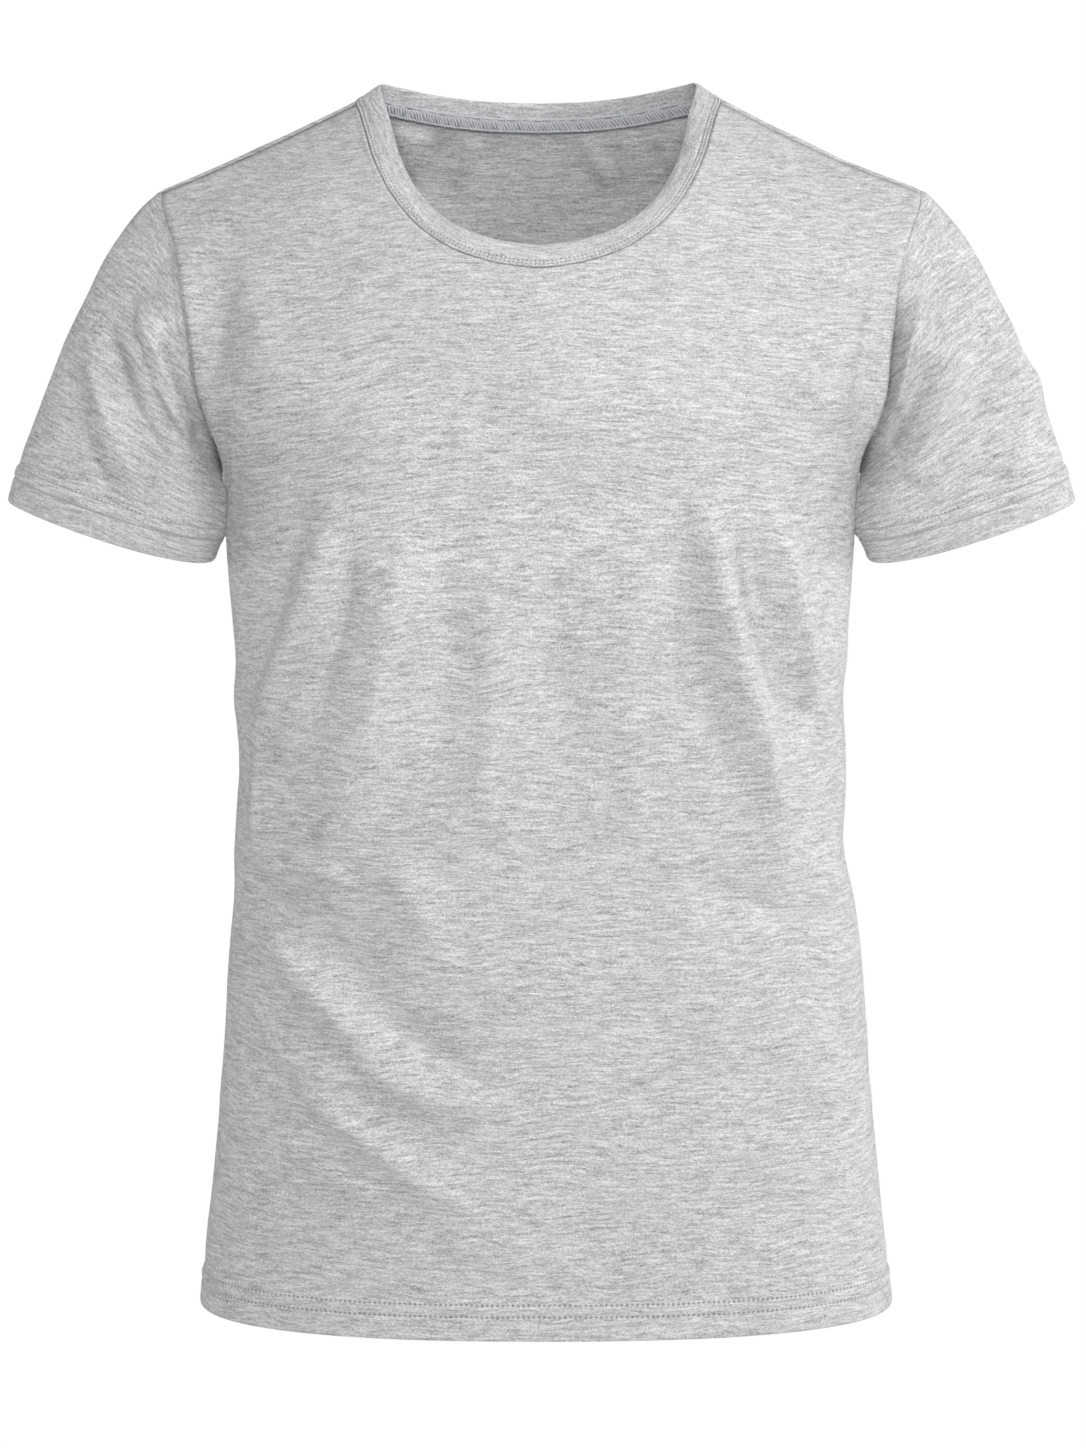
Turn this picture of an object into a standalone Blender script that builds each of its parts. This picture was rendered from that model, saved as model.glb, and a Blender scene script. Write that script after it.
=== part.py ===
"""Crew neck T-shirt of light jersey, standing filled out with nobody in it.

Six sewn pieces, each one closed wall of cloth: front, back, two set-in sleeves,
the neck band and the narrow tape inside the back neck.

Frame: the origin lies in the middle of the neck, level with the top of the
shoulders.  +X is the wearer's left, -Y the front, +Z up.  Lengths are in metres,
and the tables are in millimetres.
"""

import math

import bpy
import numpy as np

MM = 0.001

# Cloth
JERSEY = 1.2 * MM            # wall of one layer
HEM_WALL = 2.3 * MM          # wall where the edge is turned up
HEM_HEIGHT = 20.0 * MM       # turn-up of the body
CUFF_HEM = 21.0 * MM         # turn-up of the sleeves
SEAM_GAP = 0.3 * MM          # space left between two sewn pieces

# Body form
HEM = -700.0 * MM            # height of the lower edge
UNDERARM = -230.0 * MM       # height where side seam and armhole meet
SIDE_ROUND = 2.4             # how square a level cut of the body is
ARCH_REACH = 240.0 * MM      # height over which the shoulders round off
ARCH_ROUND = 1.75
SHOULDER_APEX = 41.5 * MM    # where both shoulder lines would meet
SHOULDER_SLOPE = 0.458
SHOULDER_EASE = 30.0 * MM
SHOULDER_POINT = 216.9 * MM  # from the middle to the top of the armhole
SHOULDER_SAG = {-1: 1.8 * MM, 1: 3.0 * MM}
NECK_SHIFT = -1.8 * MM       # the neck sits a little to the wearer's right
SEAM_TILT = 0.5              # brings the shoulder seam forward of the ridge
TILT_REACH = 18.0 * MM

BODY_NAMES = ("height", "right", "left", "front", "back")
BODY = (
    (-700, 198.8, 204.2, 118, 113),
    (-679, 196.6, 201.8, 116, 112),
    (-643, 192.8, 197.5, 113, 109),
    (-608, 189.1, 194.3, 112, 107),
    (-572, 185.9, 190.6, 111, 105),
    (-537, 183.4, 188.6, 110, 103),
    (-502, 181.2, 185.6, 110, 101),
    (-467, 178.2, 181.4, 109, 100),
    (-432, 176.8, 174.6, 109, 100),
    (-408, 174.8, 175.2, 110, 101),
    (-379, 171.6, 175.6, 112, 103),
    (-350, 174.9, 173.4, 113, 104),
    (-327, 175.2, 174.6, 114, 106),
    (-292, 177.2, 177.2, 116, 108),
    (-262, 179.6, 179.0, 117, 110),
    (-230, 180.8, 180.4, 117, 111),
    (-214, 181.2, 180.8, 117, 112),
    (-202, 183.5, 182.9, 117, 112),
    (-190, 187.0, 186.2, 117, 112),
    (-172, 191.0, 191.0, 117, 112),
    (-150, 193.6, 193.8, 116, 112),
    (-130, 196.4, 196.2, 115, 111),
    (-112, 200.2, 199.0, 114, 110),
    (-90, 206.0, 205.4, 112, 109),
    (-75, 210.8, 210.0, 110, 108),
    (-57, 216.9, 216.9, 108, 107),
    (0, 226.0, 226.0, 102, 104),
    (50, 232.0, 232.0, 100, 102),
)

# Above the underarm the level cut runs on past the armhole, by so many
# thousandths of the half width
SPREAD_NAMES = ("height", "share")
SPREAD = (
    (-230, 0),
    (-223, 7),
    (-213, 22),
    (-200, 42),
    (-180, 76),
    (-160, 105),
    (-140, 135),
    (-107, 190),
    (-75, 232),
    (-57, 250),
    (0, 275),
    (50, 300),
)

# Neck seam, from the high shoulder point to the middle: drop is measured
# below the shoulder line
NECK_NAMES = ("along", "across", "drop")
NECK_FRONT = (
    (0, 104.1, 0),
    (12, 102.0, 2.1),
    (28, 99.0, 10.2),
    (60, 92.2, 36.5),
    (88, 81.5, 63.1),
    (115, 64.9, 89.3),
    (143, 41.2, 112.8),
    (166, 17.4, 126.5),
    (184, 0, 130.4),
)
NECK_BACK = (
    (0, 104.1, 0),
    (17, 101.0, 5.4),
    (29, 93.4, 12.6),
    (42, 82.6, 19.3),
    (59, 66.0, 28.4),
    (81, 45.0, 38.5),
    (107, 20.0, 47.6),
    (127, 0, 50.6),
)

# Neck band: its cut through the cloth, across from the seam and out from it
BAND_NAMES = ("across", "out")
BAND_CUT = (
    (0.3, 0.6),
    (4.0, 0.8),
    (12.8, 0.7),
    (15.0, 0.2),
    (15.6, -0.6),
    (15.0, -1.4),
    (12.8, -1.8),
    (4.0, -1.8),
    (0.3, -1.8),
)
BAND_ROUNDING = 3            # times the upper edge is eased round the neck
BAND_LIFT_SHOULDER = math.radians(30)
BAND_LIFT_SIDE = {-1: math.radians(8), 1: math.radians(-10)}    # beside the front of the neck
BAND_LIFT_REACH = 30.0 * MM       # from the shoulder to there
BAND_LIFT_FRONT = math.radians(57)
BAND_LIFT_BACK = math.radians(80)
BAND_TURN_FRONT = 2.0
BAND_TURN_BACK = 1.5
TAPE_CUT = (                 # measured from the inner foot of the band
    (-1.2, -0.6),
    (6.2, -0.6),
    (6.2, -1.6),
    (-1.2, -1.6),
)

# Sleeves, given for the wearer's right arm
CUFF_CENTRE = (-247.0 * MM, -4.0 * MM, -251.8 * MM)
CUFF_HALF_WIDTH = 61.7 * MM
CUFF_HALF_DEPTH = 43.0 * MM
CUFF_RAKE = math.radians(16.0)    # outer end of the cuff is the higher one
CUFF_DROOP_FRONT = 5.0 * MM
CUFF_DROOP_BACK = 3.0 * MM
CUFF_SKEW = 0.45                  # the droop lies nearer to the body
SLEEVE_FALL = math.radians(73.0)  # run of the sleeve at the cuff, below level
SLEEVE_BULGE = 7.0 * MM

# In thousandths: the way round from shoulder to underarm, how far the sleeve
# leaves the seam along the body's own surface, and the pull at both ends of
# its run
SETTING_NAMES = ("round", "follow", "pull_seam", "pull_cuff")
SETTING = (
    (0, 930, 190, 360),
    (150, 830, 200, 360),
    (400, 420, 210, 350),
    (650, 200, 220, 330),
    (850, 60, 240, 300),
    (1000, 0, 250, 250),
)

# Largest folds: height over the cloth (troughs are below zero), half width,
# and three points of the run, across and up
FOLD_NAMES = ("rise", "wide", "x1", "z1", "x2", "z2", "x3", "z3")
FRONT_FOLDS = (
    (-5.0, 11, -88, -212, -99, -310, -128, -410),
    (-4.0, 10, -120, -225, -142, -285, -164, -352),
    (3.0, 11, -108, -240, -124, -310, -148, -380),
    (-4.5, 11, 82, -218, 102, -310, 132, -424),
    (-3.0, 10, 118, -225, 133, -284, 140, -320),
    (4.0, 12, 108, -255, 126, -330, 150, -395),
    (-2.0, 14, -43, -235, -48, -320, -52, -410),
    (-2.0, 14, 20, -235, 22, -320, 16, -410),
    (-2.5, 13, 10, -188, 46, -208, 88, -230),
    (-3.5, 14, -166, -160, -146, -200, -115, -240),
    (-4.5, 9, -172, -436, -118, -450, -56, -486),
    (4.0, 11, -160, -452, -112, -500, -62, -562),
    (-4.5, 10, -170, -462, -136, -510, -88, -548),
    (-3.5, 12, -140, -556, -92, -604, -30, -650),
    (-2.5, 12, -84, -566, -40, -580, 4, -594),
    (-4.0, 10, 108, -424, 142, -444, 172, -462),
    (3.5, 11, 82, -448, 112, -474, 146, -492),
    (-2.5, 13, 60, -520, 110, -560, 160, -580),
)
BACK_FOLDS = (
    (-4.5, 12, -96, -200, -104, -300, -134, -400),
    (-4.0, 11, 104, -190, 112, -290, 146, -370),
    (3.0, 12, -118, -230, -132, -310, -152, -380),
    (-3.0, 14, -24, -120, -14, -220, -30, -330),
    (-2.5, 14, 34, -180, 28, -280, 44, -390),
    (-4.0, 10, 166, -440, 110, -466, 50, -512),
    (3.5, 12, 158, -462, 104, -510, 52, -576),
    (-3.5, 11, -166, -430, -116, -470, -70, -530),
    (-3.0, 13, 136, -560, 84, -610, 24, -650),
    (-2.5, 13, -60, -560, -92, -606, -150, -630),
)
SLEEVE_FOLDS = {
    "right": (
        (-3.0, 8, -226, -100, -238, -160, -256, -214),
        (-3.5, 8, -206, -120, -222, -180, -222, -236),
        (2.5, 8, -212, -104, -230, -170, -236, -226),
        (-2.5, 8, -254, -130, -268, -176, -274, -214),
    ),
    "left": (
        (-3.5, 8, 204, -116, 212, -180, 214, -236),
        (2.5, 8, 214, -110, 226, -170, 228, -224),
        (-2.5, 9, 234, -104, 252, -160, 262, -214),
        (-2.0, 8, 256, -120, 274, -176, 282, -212),
    ),
}

# How finely the walls are laid out
SHOULDER_STEPS = 6
NECK_STEPS = 12
LOWER_STEPS = 16
ARMHOLE_STEPS = 15
SLEEVE_STEPS = 9
RUN_SAMPLES = 60


def column(table, names, wanted):
    """One named column of a table, in metres."""
    place = names.index(wanted)
    return np.array([row[place] for row in table], float) * MM


def smooth(at, stops, values):
    """Smooth curve through the stops, level beyond both ends."""
    at = np.clip(at, stops[0], stops[-1])
    slopes = np.gradient(values, stops)
    place = np.searchsorted(stops, at, side="right") - 1
    place = np.clip(place, 0, len(stops) - 2)
    step = stops[place + 1] - stops[place]
    t = (at - stops[place]) / step
    rise = values[place + 1] - values[place]
    a = slopes[place] * step - rise
    b = rise - slopes[place + 1] * step
    return values[place] + t * rise + t * (1 - t) * ((1 - t) * a + t * b)


def body(wanted, height):
    """A named column of the body table at any height."""
    return smooth(height, column(BODY, BODY_NAMES, "height"), column(BODY, BODY_NAMES, wanted))


def ease(value):
    """Soft step from 0 to 1."""
    value = np.clip(value, 0, 1)
    return value * value * (3 - 2 * value)


def unit(vectors):
    """The same vectors, one long."""
    length = np.linalg.norm(vectors, axis=-1, keepdims=True)
    return vectors / np.maximum(length, 1e-12)


def half_width(side, height):
    """From the middle to the side seam or armhole; side is -1 or +1."""
    return np.where(side < 0, body("right", height), body("left", height))


def shoulder_height(across):
    """Height of the shoulder seam, carried on over the neck."""
    moved = across - NECK_SHIFT * (1 - ease(np.abs(across) / SHOULDER_POINT))
    line = SHOULDER_APEX - SHOULDER_SLOPE * np.sqrt(moved ** 2 + SHOULDER_EASE ** 2)
    start = NECK_FRONT[0][1] * MM
    share = np.clip((np.abs(across) - start) / (SHOULDER_POINT - start), 0, 1)
    sag = np.where(across < 0, SHOULDER_SAG[-1], SHOULDER_SAG[1])
    return line - sag * np.sin(math.pi * share)


def cloth_at(face, across, height):
    """Points of the outer side of the front or back."""
    spread = column(SPREAD, SPREAD_NAMES, "share")
    share = 1 + np.maximum(smooth(height, column(SPREAD, SPREAD_NAMES, "height"), spread), 0)
    reach = half_width(across, height) * share
    side = 1 - np.clip(np.abs(across) / reach, 0, 1) ** SIDE_ROUND
    side = np.where(side < 1e-9, 0, side) ** (1 / SIDE_ROUND)
    drop = np.clip(shoulder_height(across) - height, 0, ARCH_REACH)
    drop = np.where(drop < 1e-9, 0, drop)
    arch = (1 - (1 - drop / ARCH_REACH) ** ARCH_ROUND) ** (1 / ARCH_ROUND)
    depth = SEAM_GAP / 2 + body(face, height) * side * arch
    depth = depth * (-1 if face == "front" else 1)
    raised = height + SEAM_TILT * depth * np.exp(-drop / TILT_REACH)
    return np.stack([across, depth, raised], axis=-1)


def top_edge(neck, place, side):
    """Upper edge of a panel: place 0 is the middle, counted out to the armhole."""
    along = column(neck, NECK_NAMES, "along")
    across = column(neck, NECK_NAMES, "across")
    drop = column(neck, NECK_NAMES, "drop")
    if place <= NECK_STEPS:
        both = np.concatenate([along, 2 * along[-1] - along[-2::-1]])
        at = along[-1] * (1 - place / NECK_STEPS)
        x = side * float(smooth(at, both, np.concatenate([across, -across[-2::-1]])))
        x = x + NECK_SHIFT
        down = float(smooth(at, both, np.concatenate([drop, drop[-2::-1]])))
    else:
        start = side * across[0] + NECK_SHIFT
        x = start + (side * SHOULDER_POINT - start) * (place - NECK_STEPS) / SHOULDER_STEPS
        down = 0.0
    return x, float(shoulder_height(x)) - down


def lower_levels():
    """Heights of the rows from the hem to the underarm."""
    turned = [HEM, HEM + HEM_HEIGHT / 2, HEM + HEM_HEIGHT, HEM + HEM_HEIGHT + 1 * MM]
    plain = np.linspace(turned[-1], UNDERARM, LOWER_STEPS + 1)
    return np.concatenate([turned, plain[1:]])


def panel_plan(neck):
    """Across and height of every point of a panel, in rows from the hem up."""
    lower = lower_levels()
    rising = (1 - np.cos(np.linspace(0, math.pi, ARMHOLE_STEPS + 1)[1:])) / 2
    steps = NECK_STEPS + SHOULDER_STEPS
    across = []
    height = []
    for place in range(-steps, steps + 1):
        side = -1 if place < 0 else 1
        share = side * math.sin(abs(place) / steps * math.pi / 2)
        top_x, top_z = top_edge(neck, abs(place), side)
        top_share = top_x / float(half_width(side, top_z))
        up = np.concatenate([lower, UNDERARM + rising * (top_z - UNDERARM)])
        shares = np.concatenate([lower * 0 + share, share + (top_share - share) * rising])
        across.append(shares * half_width(side, up))
        height.append(up)
    return np.array(across).T, np.array(height).T


def run_lengths(points, axis):
    """Length of cloth from the first point on, along rows or columns."""
    steps = np.linalg.norm(np.diff(points, axis=axis), axis=-1)
    start = np.zeros_like(np.take(steps, [0], axis=axis))
    return np.concatenate([start, np.cumsum(steps, axis=axis)], axis=axis)


def grid_normals(points, around=False):
    """Outward normals of a grid of rows, with columns counted to the +X side."""
    if around:
        wide = np.roll(points, -1, axis=1) - np.roll(points, 1, axis=1)
    else:
        wide = np.gradient(points, axis=1)
    high = np.gradient(points, axis=0)
    return unit(np.cross(wide, high))


def fold_heights(folds, points):
    """Sum of soft ridges and troughs at every point."""
    total = np.zeros(points.shape[:-1])
    t = np.linspace(0, 1, 25)
    for row in folds:
        size = {name: value * MM for name, value in zip(FOLD_NAMES, row)}
        run_x = (1 - t) ** 2 * size["x1"] + 2 * t * (1 - t) * size["x2"] + t * t * size["x3"]
        run_z = (1 - t) ** 2 * size["z1"] + 2 * t * (1 - t) * size["z2"] + t * t * size["z3"]
        away = np.hypot(points[..., 0, None] - run_x, points[..., 2, None] - run_z)
        strength = np.sin(math.pi * t) ** 0.8 * np.exp(-((away / size["wide"]) ** 2) / 2)
        total = total + size["rise"] * strength.max(axis=-1)
    return total


def panel_surface(face):
    """Outer points of the front or back, with its folds."""
    neck = NECK_FRONT if face == "front" else NECK_BACK
    folds = FRONT_FOLDS if face == "front" else BACK_FOLDS
    points = cloth_at(face, *panel_plan(neck))
    facing = -1 if face == "back" else 1
    along = run_lengths(points, 1)
    to_side = np.minimum(along, along[:, -1:] - along)
    up = run_lengths(points, 0)
    to_top = up[-1:] - up
    fade = ease(to_side / (22 * MM)) * ease(to_top / (16 * MM)) * ease(up / (60 * MM) + 0.15)
    rise = fold_heights(folds, points) * fade
    return points + grid_normals(points) * facing * rise[..., None]


def panel_normals(face, points):
    """Outward normals, square to the side and shoulder seams at those edges."""
    normals = grid_normals(points) * (-1 if face == "back" else 1)
    for edge in (np.s_[: LOWER_STEPS + 4, 0], np.s_[: LOWER_STEPS + 4, -1]):
        normals[edge][:, 1] = 0
    shoulders = list(range(SHOULDER_STEPS + 1))
    shoulders += [-1 - step for step in shoulders]
    normals[-1, shoulders, 1] = 0
    return unit(normals)


def armhole_loop(front, back, side):
    """Armhole from the top, down the front to the underarm and up the back."""
    column_at = 0 if side < 0 else -1
    down = front[LOWER_STEPS + 3:, column_at][::-1]
    rise = back[LOWER_STEPS + 3:, column_at]
    top = (down[:1] + rise[-1:]) / 2
    low = (down[-1:] + rise[:1]) / 2
    return np.concatenate([top, down[1:-1], low, rise[1:-1]])


def neck_loop(front, back):
    """Neck seam from the right shoulder round the front, then round the back."""
    inner = np.s_[SHOULDER_STEPS: SHOULDER_STEPS + 2 * NECK_STEPS + 1]
    ahead = front[-1, inner]
    behind = back[-1, inner][::-1]
    right = (ahead[:1] + behind[-1:]) / 2
    left = (ahead[-1:] + behind[:1]) / 2
    return np.concatenate([right, ahead[1:-1], left, behind[1:-1]])


def loop_tangents(loop):
    """Unit steps along a closed loop."""
    return unit(np.roll(loop, -1, axis=0) - np.roll(loop, 1, axis=0))


def sleeve_surface(side, loop, normals):
    """Outer points of a sleeve, in rows from the armhole to the cuff."""
    flip = np.array([-side, 1, 1])
    loop = loop * flip
    normals = unit(normals) * flip
    count = len(loop)
    half = count // 2
    lengths = run_lengths(np.concatenate([loop, loop[:1]]), 0)
    front_share = lengths[: half + 1] / lengths[half]
    back_share = (lengths[count] - lengths[half:count]) / (lengths[count] - lengths[half])
    share = np.concatenate([front_share, back_share[1:]])
    ahead = np.where(np.arange(count) <= half, -1.0, 1.0)

    stops = column(SETTING, SETTING_NAMES, "round")
    follow, pull_seam, pull_cuff = (
        smooth(share, stops, column(SETTING, SETTING_NAMES, name))
        for name in SETTING_NAMES[1:]
    )
    leave = unit(np.cross(loop_tangents(loop), normals))
    fall = np.array([-math.cos(SLEEVE_FALL), 0, -math.sin(SLEEVE_FALL)])
    steep = SLEEVE_FALL + (math.pi / 2 - SLEEVE_FALL) * share ** 2
    down = np.stack([-np.cos(steep), 0 * steep, -np.sin(steep)], axis=-1)
    start = unit(leave * follow[:, None] + down * (1 - follow[:, None]))

    turn = math.pi * share
    inward = np.array([math.cos(CUFF_RAKE), 0, -math.sin(CUFF_RAKE)])
    cuff = np.array(CUFF_CENTRE) - inward * (CUFF_HALF_WIDTH * np.cos(turn))[:, None]
    cuff[:, 1] += ahead * CUFF_HALF_DEPTH * np.sin(turn)
    droop = np.where(ahead < 0, CUFF_DROOP_FRONT, CUFF_DROOP_BACK)
    cuff[:, 2] -= droop * np.sin(turn) * (1 - CUFF_SKEW * np.cos(turn))

    apart = unit(start + 3 * normals * (1 - follow[:, None]) ** 4)
    first = loop + apart * SEAM_GAP * 1.3
    span = np.linalg.norm(cuff - first, axis=1)[:, None]
    near = first + start * span * pull_seam[:, None]
    far = cuff - fall * span * pull_cuff[:, None]
    far[:, 1] += ahead * SLEEVE_BULGE * np.sin(turn)
    t = np.linspace(0, 1, RUN_SAMPLES)[:, None, None]
    runs = (1 - t) ** 3 * first + 3 * t * (1 - t) ** 2 * near
    runs = runs + 3 * t * t * (1 - t) * far + t ** 3 * cuff

    along = run_lengths(runs, 0)
    rows = []
    for place in range(count):
        total = along[-1, place]
        plain = (total - CUFF_HEM - 1 * MM) * np.linspace(0, 1, SLEEVE_STEPS + 1) ** 1.15
        turned = [total - CUFF_HEM, total - CUFF_HEM / 2, total]
        stops = np.concatenate([plain, turned])
        points = [np.interp(stops, along[:, place], runs[:, place, axis]) for axis in range(3)]
        rows.append(np.stack(points, axis=-1))
    return np.array(rows).transpose(1, 0, 2) * flip


def sleeve_normals(side, points):
    """Outward normals of a sleeve."""
    return grid_normals(points, around=True) * side


def share_armhole(normals, sleeve, side):
    """Turn both edges of an armhole to each other where the cloth runs on."""
    loop = unit(armhole_loop(normals["front"], normals["back"], side))
    alike = np.clip((loop * sleeve).sum(axis=1), 0, 1)[:, None]
    panel = unit(loop + sleeve * alike)
    half = len(loop) // 2
    place = 0 if side < 0 else -1
    low = LOWER_STEPS + 3
    around = np.concatenate([panel, panel[:1]])
    normals["front"][low:, place] = around[: half + 1][::-1]
    normals["back"][low:, place] = around[half:]
    for face in ("front", "back"):
        normals[face][[low, -1], place, 1] = 0
        normals[face][low:, place] = unit(normals[face][low:, place])
    return unit(sleeve + loop * alike)


def sleeve_with_folds(side, points):
    """The sleeve's outer points, moved out and in by its folds."""
    folds = SLEEVE_FOLDS["right" if side < 0 else "left"]
    up = run_lengths(points, 0)
    fade = ease(up / (14 * MM)) * ease((up[-1:] - up) / (30 * MM))
    rise = fold_heights(folds, points) * fade
    return points + sleeve_normals(side, points) * rise[..., None]


def add_solid(name, vertices, faces, material):
    """One named object from points and faces."""
    mesh = bpy.data.meshes.new(name)
    mesh.from_pydata([tuple(map(float, point)) for point in vertices], [], faces)
    mesh.polygons.foreach_set("use_smooth", [True] * len(mesh.polygons))
    mesh.materials.append(material)
    mesh.update()
    solid = bpy.data.objects.new(name, mesh)
    bpy.context.scene.collection.objects.link(solid)
    return solid


def add_wall(name, outer, normals, walls, material, around=False, flipped=False):
    """Closed wall of cloth from its outer points and the wall at each row."""
    rows, columns = outer.shape[:2]
    inner = outer - normals * np.asarray(walls)[:, None, None]
    vertices = np.concatenate([outer.reshape(-1, 3), inner.reshape(-1, 3)])
    shift = rows * columns
    faces = []

    def quad(a, b, c, d):
        for corner in ((a, b, c), (a, c, d)):
            faces.append(corner[::-1] if flipped else corner)

    last = columns if around else columns - 1
    for row in range(rows - 1):
        for place in range(last):
            a = row * columns + place
            b = row * columns + (place + 1) % columns
            quad(a, b, b + columns, a + columns)
            quad(shift + a, shift + a + columns, shift + b + columns, shift + b)
    for place in range(last):
        beside = (place + 1) % columns
        top = (rows - 1) * columns
        quad(shift + place, shift + beside, beside, place)
        quad(top + place, top + beside, shift + top + beside, shift + top + place)
    if not around:
        for row in range(rows - 1):
            low = row * columns
            high = low + columns
            quad(shift + low, low, high, shift + high)
            quad(low + columns - 1, shift + low + columns - 1,
                 shift + high + columns - 1, high + columns - 1)
    return add_solid(name, vertices, faces, material)


def add_swept(name, sections, material, closed):
    """Solid through a row of equal cuts, closed into a ring or capped."""
    count, around = sections.shape[:2]
    faces = []
    for place in range(count if closed else count - 1):
        near = place * around
        far = (place + 1) % count * around
        for corner in range(around):
            beside = (corner + 1) % around
            faces.append((near + corner, far + corner, far + beside, near + beside))
    if not closed:
        faces.append(tuple(range(around)))
        faces.append(tuple(reversed(range((count - 1) * around, count * around))))
    return add_solid(name, sections.reshape(-1, 3), faces, material)


def band_frames(loop):
    """Direction of the band's height and of its outer side, round the neck."""
    tangents = loop_tangents(loop)
    inward = np.stack([-tangents[:, 1], tangents[:, 0], 0 * tangents[:, 0]], axis=-1)
    inward = unit(inward)
    ahead = inward[:, 1] > 0
    facing = np.abs(inward[:, 1]) ** np.where(ahead, BAND_TURN_FRONT, BAND_TURN_BACK)
    steep = np.where(ahead, BAND_LIFT_FRONT, BAND_LIFT_BACK)
    side_lift = np.where(loop[:, 0] < 0, BAND_LIFT_SIDE[-1], BAND_LIFT_SIDE[1])
    beside = ease(-loop[:, 1] / BAND_LIFT_REACH)
    beside = BAND_LIFT_SHOULDER + (side_lift - BAND_LIFT_SHOULDER) * beside
    lift = beside + (steep - beside) * facing
    rise = inward * np.cos(lift)[:, None]
    rise[:, 2] += np.sin(lift)
    for _ in range(3):
        rise = unit(np.roll(rise, 1, axis=0) + 2 * rise + np.roll(rise, -1, axis=0))
    rise = unit(rise - tangents * (rise * tangents).sum(axis=1)[:, None])
    return rise, np.cross(tangents, rise)


def share_neck_edge(normals, outward):
    """Turn the panels' neck edges halfway to the band, and give that direction."""
    loop = unit(unit(neck_loop(normals["front"], normals["back"])) + outward)
    inner = slice(SHOULDER_STEPS, SHOULDER_STEPS + 2 * NECK_STEPS + 1)
    half = 2 * NECK_STEPS
    normals["front"][-1, inner] = loop[: half + 1]
    normals["back"][-1, inner] = np.concatenate([loop[half:], loop[:1]])[::-1]
    corners = [SHOULDER_STEPS, SHOULDER_STEPS + half]
    for face in ("front", "back"):
        normals[face][-1, corners, 1] = 0
        normals[face][-1] = unit(normals[face][-1])
    return loop


def swept_cut(loop, rise, outward, cut):
    """A flat cut set up at every point of a loop."""
    across = column(cut, BAND_NAMES, "across")[None, :, None]
    out = column(cut, BAND_NAMES, "out")[None, :, None]
    return loop[:, None] + rise[:, None] * across + outward[:, None] * out


def fabric(name, colour, roughness):
    """Plain cloth material."""
    material = bpy.data.materials.new(name)
    material.use_nodes = True
    shader = material.node_tree.nodes["Principled BSDF"]
    shader.inputs["Base Color"].default_value = (*colour, 1)
    shader.inputs["Roughness"].default_value = roughness
    shader.inputs["Metallic"].default_value = 0.0
    material.diffuse_color = (*colour, 1)
    return material


def jersey_material():
    return fabric("melange_jersey", (0.56, 0.56, 0.57), 0.9)


def band_material():
    return fabric("melange_band", (0.53, 0.53, 0.54), 0.9)


def tape_material():
    return fabric("overlock_tape", (0.44, 0.46, 0.52), 0.85)


def panel_walls():
    """Wall at each row of a panel, doubled over the hem."""
    walls = np.full(4 + LOWER_STEPS + ARMHOLE_STEPS, JERSEY)
    walls[:3] = HEM_WALL
    return walls


def make_panels(surfaces, normals, cloth):
    add_wall("front", surfaces["front"], normals["front"], panel_walls(), cloth)
    add_wall("back", surfaces["back"], normals["back"], panel_walls(), cloth, flipped=True)


def make_sleeve(side, points, normals, cloth):
    walls = np.full(len(points), JERSEY)
    walls[-3:] = HEM_WALL
    name = "sleeve_right" if side < 0 else "sleeve_left"
    add_wall(name, points, normals, walls, cloth, around=True, flipped=side < 0)


def band_sections(loop, rise, outward, edge):
    """The band's cut all round the neck, its upper edge eased over the shoulders."""
    plain = swept_cut(loop, rise, outward, BAND_CUT)
    eased = plain
    for _ in range(BAND_ROUNDING):
        beside = np.roll(eased, 1, axis=0) + np.roll(eased, -1, axis=0)
        eased = eased / 2 + beside / 4
    share = ease(column(BAND_CUT, BAND_NAMES, "across") / (10 * MM))
    sections = plain + (eased - plain) * share[None, :, None]
    sections[:, [0, -1]] = swept_cut(loop, rise, edge, BAND_CUT)[:, [0, -1]]
    return sections


def make_band(sections, cloth):
    add_swept("neck_band", sections, cloth, True)


def make_tape(band, cloth):
    """Strip over the back neck seam, laid along the inner side of the band."""
    foot = band[:, -1]
    rise = unit(band[:, -2] - foot)
    outward = np.cross(loop_tangents(foot), rise)
    half = 2 * NECK_STEPS
    behind = list(range(half + 2, 2 * half - 1))
    sections = swept_cut(foot[behind], rise[behind], outward[behind], TAPE_CUT)
    add_swept("neck_tape", sections, cloth, False)


def clear_scene():
    for leftover in list(bpy.data.objects):
        bpy.data.objects.remove(leftover, do_unlink=True)


def build():
    clear_scene()
    jersey = jersey_material()
    surfaces = {face: panel_surface(face) for face in ("front", "back")}
    normals = {face: panel_normals(face, surfaces[face]) for face in surfaces}
    for side in (-1, 1):
        loop = armhole_loop(surfaces["front"], surfaces["back"], side)
        loop_normals = armhole_loop(normals["front"], normals["back"], side)
        plain = sleeve_surface(side, loop, loop_normals)
        sleeve = sleeve_with_folds(side, plain)
        outward = sleeve_normals(side, sleeve)
        outward[0] = share_armhole(normals, outward[0], side)
        make_sleeve(side, sleeve, outward, jersey)
    loop = neck_loop(surfaces["front"], surfaces["back"])
    rise, outward = band_frames(loop)
    edge = share_neck_edge(normals, outward)
    make_panels(surfaces, normals, jersey)
    band = band_sections(loop, rise, outward, edge)
    make_band(band, band_material())
    make_tape(band, tape_material())


build()
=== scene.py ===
"""Looks of a light grey melange crew neck T-shirt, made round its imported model.

The shirt stands filled out with nobody in it. The origin lies in the middle of the
neck, level with the shoulders; +X is the wearer's left, -Y the front and +Z up.
Lengths are in metres, and the tables are in millimetres.
"""

import math

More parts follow.
